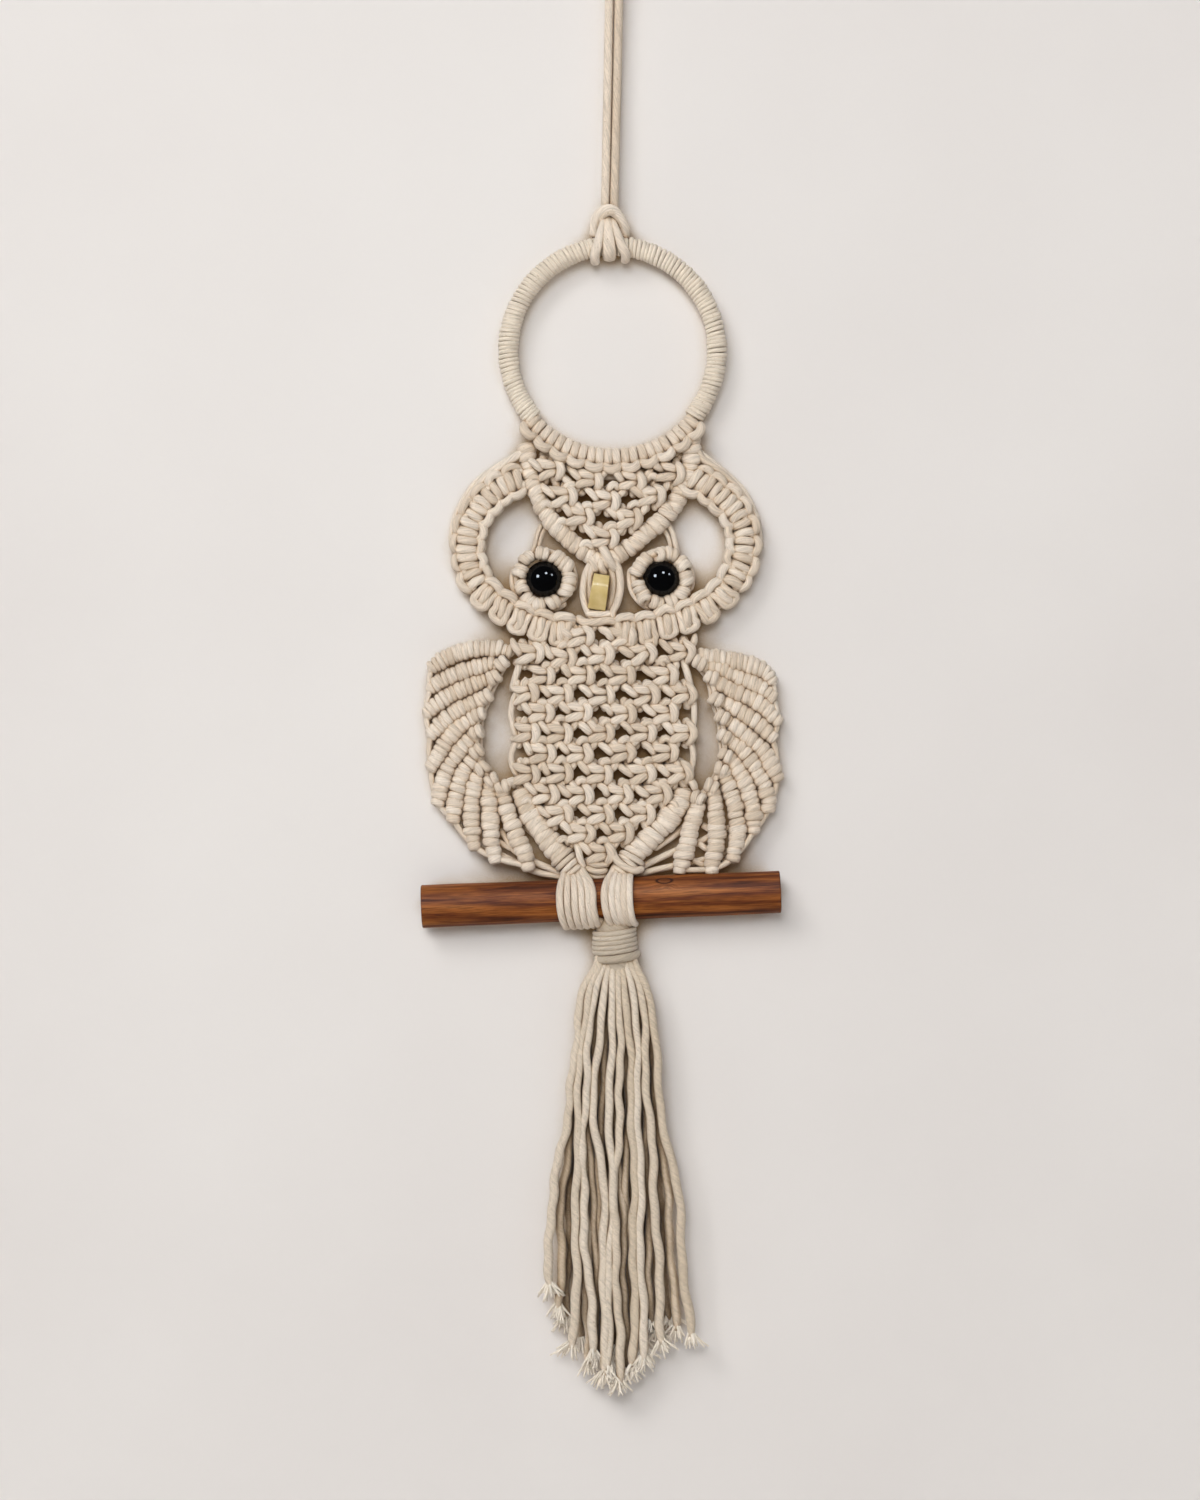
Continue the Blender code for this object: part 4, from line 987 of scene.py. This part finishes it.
def oiled_hardwood():
    """Oiled reddish hardwood, turned round and sanded: long dark pores and bands along the stick,
    one small knot, and end grain in rings."""
    made, tree = new_material("oiled_hardwood")
    left, right = spot(*PERCH_ENDS[0]), spot(*PERCH_ENDS[1])
    middle, run = 0.5 * (left + right), right - left
    place = node(tree, "ShaderNodeTexCoord").outputs["Object"]
    turned = node(tree, "ShaderNodeMapping", {"vector_type": "TEXTURE"}, i0=place)
    turned.inputs["Location"].default_value = middle
    turned.inputs["Rotation"].default_value = (0, -math.atan2(run[2], run[0]), 0)
    stick = turned.outputs[0]
    knot_at = spot(*PERCH_KNOT) - middle
    knot_x = float(knot_at @ run / np.linalg.norm(run))
    knot_place = (knot_x, -0.0060, 0.0074)
    away = node(tree, "ShaderNodeVectorMath", {"operation": "SUBTRACT"}, i0=stick, i1=knot_place).outputs[0]
    off = node(tree, "ShaderNodeVectorMath", {"operation": "MULTIPLY"}, i0=away, i1=(0.5, 1, 1)).outputs[0]
    distance = node(tree, "ShaderNodeVectorMath", {"operation": "LENGTH"}, i0=off).outputs["Value"]
    near = node(tree, "ShaderNodeMapRange", {"interpolation_type": "SMOOTHSTEP"}, i0=distance, i1=0.0008,
                i2=0.0055, i3=1.0, i4=0.0).outputs[0]
    push = node(tree, "ShaderNodeVectorMath", {"operation": "SCALE"}, i0=away).outputs[0]
    tree.links.new(near, push.node.inputs["Scale"])
    bent = node(tree, "ShaderNodeVectorMath", {"operation": "ADD"}, i0=stick, i1=push).outputs[0]
    # Grain bands about 3 mm wide and 60 mm long, and pores 0.3 mm wide and 8 mm long
    bands_at = node(tree, "ShaderNodeMapping", i0=bent)
    bands_at.inputs["Scale"].default_value = (16.0, 300.0, 300.0)
    bands = node(tree, "ShaderNodeTexNoise", i0=bands_at.outputs[0], Scale=1.0, Detail=4.0,
                 Roughness=0.6, Distortion=0.5).outputs["Fac"]
    pores_at = node(tree, "ShaderNodeMapping", i0=bent)
    pores_at.inputs["Scale"].default_value = (120.0, 3000.0, 3000.0)
    pores = node(tree, "ShaderNodeTexNoise", i0=pores_at.outputs[0], Scale=1.0, Detail=2.0).outputs["Fac"]
    base = ramp(tree, bands, ((0.30, "#381A09"), (0.43, "#673313"), (0.55, "#8D5020"), (0.70, "#A8672F")))
    fine = ramp(tree, pores, ((0.36, 0.45), (0.54, 1.0)))
    colour = node(tree, "ShaderNodeMix", {"data_type": "RGBA", "blend_type": "MULTIPLY"},
                  i0=0.8, i6=base, i7=fine).outputs[2]
    rim_place = node(tree, "ShaderNodeMath", {"operation": "MULTIPLY"}, i0=distance, i1=330.0).outputs[0]
    rim = ramp(tree, rim_place, ((0.0, 0.35), (0.40, 0.1), (0.50, 0.92), (0.60, 0.92), (0.74, 0.0)))
    colour = node(tree, "ShaderNodeMix", {"data_type": "RGBA"}, i0=rim, i6=colour,
                  i7=linear("#2A1207")).outputs[2]
    # The sawn ends: growth rings 1.2 mm apart round the pith
    parts = node(tree, "ShaderNodeSeparateXYZ", i0=stick)
    flat = node(tree, "ShaderNodeCombineXYZ", i1=parts.outputs["Y"], i2=parts.outputs["Z"])
    pith = node(tree, "ShaderNodeVectorMath", {"operation": "DISTANCE"}, i0=flat.outputs[0],
                i1=(0, 0.0016, -0.0022)).outputs["Value"]
    rings = node(tree, "ShaderNodeMath", {"operation": "MULTIPLY"}, i0=pith, i1=5200.0).outputs[0]
    rings = node(tree, "ShaderNodeMath", {"operation": "SINE"}, i0=rings).outputs[0]
    end_colour = ramp(tree, rings, ((0.0, "#5A3018"), (1.0, "#8A5530")))
    reach = node(tree, "ShaderNodeMath", {"operation": "ABSOLUTE"}, i0=parts.outputs["X"]).outputs[0]
    half = 0.5 * float(np.linalg.norm(run))
    at_end = node(tree, "ShaderNodeMapRange", i0=reach, i1=half - 0.0006, i2=half - 0.0001, i3=0.0,
                  i4=1.0).outputs[0]
    colour = node(tree, "ShaderNodeMix", {"data_type": "RGBA"}, i0=at_end, i6=colour,
                  i7=end_colour).outputs[2]
    rough = node(tree, "ShaderNodeMapRange", i0=bands, i1=0.3, i2=0.7, i3=0.66, i4=0.5).outputs[0]
    height = node(tree, "ShaderNodeMath", {"operation": "MULTIPLY_ADD"}, i0=bands, i1=0.5,
                  i2=pores).outputs[0]
    bump = node(tree, "ShaderNodeBump", Strength=0.35, Distance=0.0003, Height=height)
    shader = node(tree, "ShaderNodeBsdfPrincipled", Base_Color=colour, Roughness=rough,
                  Normal=bump.outputs[0])
    shader.inputs["Specular IOR Level"].default_value = 0.14
    node(tree, "ShaderNodeOutputMaterial", Surface=shader.outputs[0])
    return made


def polished_acrylic(name, colour, deeper, roughness):
    """A moulded acrylic bead, tumbled to a shine: deep even colour, with the faintest cloudiness."""
    made, tree = new_material(name)
    place = node(tree, "ShaderNodeTexCoord").outputs["Object"]
    # Clouds 5 mm across, and tumbling marks of 0.3 mm
    cloud = node(tree, "ShaderNodeTexNoise", i0=place, Scale=200.0, Detail=2.0).outputs["Fac"]
    marks = node(tree, "ShaderNodeTexNoise", i0=place, Scale=3200.0, Detail=1.0).outputs["Fac"]
    base = ramp(tree, cloud, ((0.3, deeper), (0.7, colour)))
    bump = node(tree, "ShaderNodeBump", Strength=0.03, Distance=0.0001, Height=marks)
    shader = node(tree, "ShaderNodeBsdfPrincipled", Base_Color=base, Roughness=roughness, IOR=1.49,
                  Normal=bump.outputs[0])
    shader.inputs["Specular IOR Level"].default_value = 0.14
    node(tree, "ShaderNodeOutputMaterial", Surface=shader.outputs[0])
    return made


def painted_plaster():
    """A matt white wall with the slight unevenness of rolled paint, and painted shade where the cotton hangs close.
    From behind it isn't there.
    """
    made, tree = new_material("painted_plaster")
    place = node(tree, "ShaderNodeTexCoord").outputs["Object"]
    cloud = node(tree, "ShaderNodeTexNoise", i0=place, Scale=4.0, Detail=3.0).outputs["Fac"]
    grain = node(tree, "ShaderNodeTexNoise", i0=place, Scale=500.0, Detail=2.0).outputs["Fac"]
    colour = ramp(tree, cloud, ((0.3, "#E0DCDA"), (0.7, "#E6E3E1")))
    # Painted shade: the paint is darkened to a warm brown where the cotton hangs within 16 mm of it
    painted_shade_occlusion = node(tree, "ShaderNodeAmbientOcclusion", {"samples": 8}, Distance=0.0160).outputs["AO"]
    painted_shade_colour = ramp(tree, painted_shade_occlusion, ((0.05, "#8F7450"), (0.20, "#A58A64"), (0.34, "#B39A77"), (0.47, "#E2D5C1"), (0.62, "#FFFFFF")))
    colour = node(tree, "ShaderNodeMix", {"data_type": "RGBA", "blend_type": "MULTIPLY"},
                  i0=1.0, i6=colour, i7=painted_shade_colour).outputs[2]
    bump = node(tree, "ShaderNodeBump", Strength=0.08, Distance=0.0002, Height=grain)
    paint = node(tree, "ShaderNodeBsdfDiffuse", Color=colour, Normal=bump.outputs[0])
    clear = node(tree, "ShaderNodeBsdfTransparent")
    behind = node(tree, "ShaderNodeNewGeometry").outputs["Backfacing"]
    mixed = node(tree, "ShaderNodeMixShader", i0=behind, i1=paint.outputs[0], i2=clear.outputs[0])
    node(tree, "ShaderNodeOutputMaterial", Surface=mixed.outputs[0])
    return made


def pale_floor():
    made, tree = new_material("pale_floor")
    shader = node(tree, "ShaderNodeBsdfDiffuse", Color=linear("#E6E2DD"))
    node(tree, "ShaderNodeOutputMaterial", Surface=shader.outputs[0])
    return made


# --- room, lights and camera ---------------------------------------------------------------------


def panel(name, corners, material):
    mesh = bpy.data.meshes.new(name)
    mesh.from_pydata(corners, [], [(0, 1, 2, 3)])
    obj = bpy.data.objects.new(name, mesh)
    bpy.context.scene.collection.objects.link(obj)
    mesh.materials.append(material)
    return obj


def room():
    y = WALL_BEHIND
    wall = panel("wall", [(-3, y, -3), (3, y, -3), (3, y, 3), (-3, y, 3)], painted_plaster())
    wall.visible_shadow = False
    z = -FLOOR_DROP
    floor = panel("floor", [(-3, -3, z), (3, -3, z), (3, 3, z), (-3, 3, z)], pale_floor())
    floor.visible_glossy = False


def area_light(name, place, target, size, power, colour=(1, 1, 1)):
    light = bpy.data.lights.new(name, "AREA")
    light.shape = "SQUARE"
    light.size = size
    light.energy = power
    light.color = colour
    obj = bpy.data.objects.new(name, light)
    bpy.context.scene.collection.objects.link(obj)
    obj.location = place
    away = np.array(place) - np.array(target)
    across = math.atan2(away[0], -away[1])
    obj.rotation_euler = (math.acos(away[2] / np.linalg.norm(away)), 0, across)
    return obj


def light_and_camera():
    target = (0, 0, -0.33)
    key = area_light("key", (-1.50, -2.60, 1.66), target, 1.7, 61.0, (1.0, 0.985, 0.965))
    key.visible_glossy = False
    fill = area_light("fill", (1.4, -2.6, 0.2), target, 2.0, 5.0)
    fill.visible_glossy = False
    front = area_light("front", (-0.25, -3.0, 0.54), target, 1.0, 38.5)
    front.visible_glossy = False
    # The room's windows, which only the beads show
    for name, place, size, power in (("window_left", (-1.22, -1.46, 0.27), 0.52, 62.0),
                                     ("window_top", (0.40, -1.52, 0.91), 0.40, 38.0),
                                     ("window_right", (1.44, -1.08, 0.55), 0.34, 17.0)):
        window = area_light(name, place, target, size, power, (0.80, 0.90, 1.0))
        window.visible_diffuse = False
    area_light("back_fill", (0.3, 1.8, 0.3), target, 1.4, 11.0)
    world = bpy.data.worlds.new("room_light")
    world.use_nodes = True
    background = world.node_tree.nodes["Background"]
    background.inputs["Color"].default_value = (1.0, 0.965, 0.93, 1)
    background.inputs["Strength"].default_value = 0.11
    bpy.context.scene.world = world
    bpy.context.scene.view_settings.view_transform = "Standard"
    camera = bpy.data.cameras.new("camera")
    camera.sensor_fit = "VERTICAL"
    camera.sensor_height = FILM
    camera.lens = LENS
    camera.clip_start = 0.05
    eye = bpy.data.objects.new("camera", camera)
    bpy.context.scene.collection.objects.link(eye)
    centre = spot(*CAMERA_CENTRE)
    eye.location = (centre[0], -1500 * PIXEL * LENS / FILM, centre[2])
    eye.rotation_euler = (math.pi / 2, 0, 0)
    bpy.context.scene.camera = eye


def build():
    cotton = cotton_cord("natural_cotton_cord", "#F6E9D9", "#EDDDCA", "#DECBB4", 0.05, 0.08)
    binding = cotton_cord("natural_cotton_binding", "#F9EDDB", "#F3E4D0", "#E7D6BF", 0.05, 0.08, 0.0018, 0.7)
    # Painted shade: the tassel's cotton is darkened strongly where other strands lie within about 10 mm
    cut = cotton_cord("natural_cotton_tassel", "#F0E4D4", "#E5D6C2", "#D4C2A9", 0.05, 0.14, 0.0095,
                      shade=TASSEL_SHADE)
    # Painted shade: the turns round the tassel's head get darker cotton colours, standing in for the shadow the legs
    # and perch cast on them
    whipping_in_painted_shade = cotton_cord("natural_cotton_whipping", "#DACDBB", "#CFC1AE", "#C1B29D", 0.05, 0.08)
    fluff = cotton_cord("natural_cotton_fluff", "#F6EDE0", "#F3E9DA", "#EEE3D2", 0.0, 0.0, 0.0020, 0.0, 0.1)
    black = polished_acrylic("black_acrylic", "#040507", "#030304", 0.06)
    butter = polished_acrylic("butter_yellow_acrylic", "#D7C28C", "#C8B073", 0.20)
    wood = oiled_hardwood()

    strands = new_bundle()
    hanging_cord(strands)
    piece("hanging_cord_strands", strands, cotton, "hanging_cord")
    ring = new_bundle()
    bound_ring(ring)
    piece("ring_binding", ring, binding, "ring")

    heads = new_bundle()
    lark_heads(heads)
    piece("mounting_knots", heads, cotton, "owl_macrame")
    forehead = new_bundle()
    net(forehead, FOREHEAD_KNOTS, 0.97, lambda down: True)
    piece("forehead_net", forehead, cotton, "owl_macrame")
    brows = new_bundle()
    for table in BROWS:
        hitched_bar(brows, table, 19.6, 8.6, thick=3.4)
    piece("brow_bars", brows, cotton, "owl_macrame")
    for name, table, centre, edges in zip(("left", "right"), EYE_LOOPS, LOOP_CENTRES,
                                          (EDGE_CORDS[:2], EDGE_CORDS[2:])):
        loop = new_bundle()
        sinnet(loop, table, centre)
        for radius, run in edges:
            drawn(loop, radius, run)
        piece(f"eye_loop_{name}", loop, cotton, "owl_macrame")
    eyes = new_bundle()
    for across, down in EYE_BEADS:
        rosette(eyes, across, down)
    for radius, table in EYE_LINKS + BEAK_CORDS:
        drawn(eyes, radius, table)
    piece("eye_rosettes", eyes, cotton, "owl_macrame")
    body = new_bundle()
    net(body, BODY_KNOTS, 0.97, lambda down: down < 640 or 790 < down < 862)
    for radius, table in SIDE_CORDS:
        drawn(body, radius, table)
    piece("body_net", body, cotton, "owl_macrame")
    for name, bars, pitches, knobs, way in (("left_wing", LEFT_WING, LEFT_PITCH, LEFT_KNOBS, -1),
                                            ("right_wing", RIGHT_WING, RIGHT_PITCH, RIGHT_KNOBS, 1)):
        bundle = new_bundle()
        wing(bundle, bars, pitches, knobs, way)
        piece(name, bundle, cotton, "owl_macrame")
    hem = new_bundle()
    for table in HEM_BARS:
        hitched_bar(hem, table, 23.6, 8.3, depth=0.8, slant=0.05)
    for radius, table in WING_TIES:
        drawn(hem, radius, table)
    legs(hem)
    piece("hem_and_legs", hem, cotton, "owl_macrame")

    for (across, down), side in zip(EYE_BEADS, ("left", "right")):
        eye_bead(f"eye_bead_{side}", across, down, black, f"eye_{side}")
    beak_bead(butter)
    perch(wood)
    head = new_bundle()
    tassel_head(head)
    piece("tassel_head", head, whipping_in_painted_shade, "tassel")
    skirt, loose = new_bundle(), new_bundle()
    tassel_strands(skirt, loose)
    piece("tassel_strands", skirt, cut, "tassel")
    piece("tassel_frays", loose, fluff, "tassel")

    room()
    light_and_camera()


build()
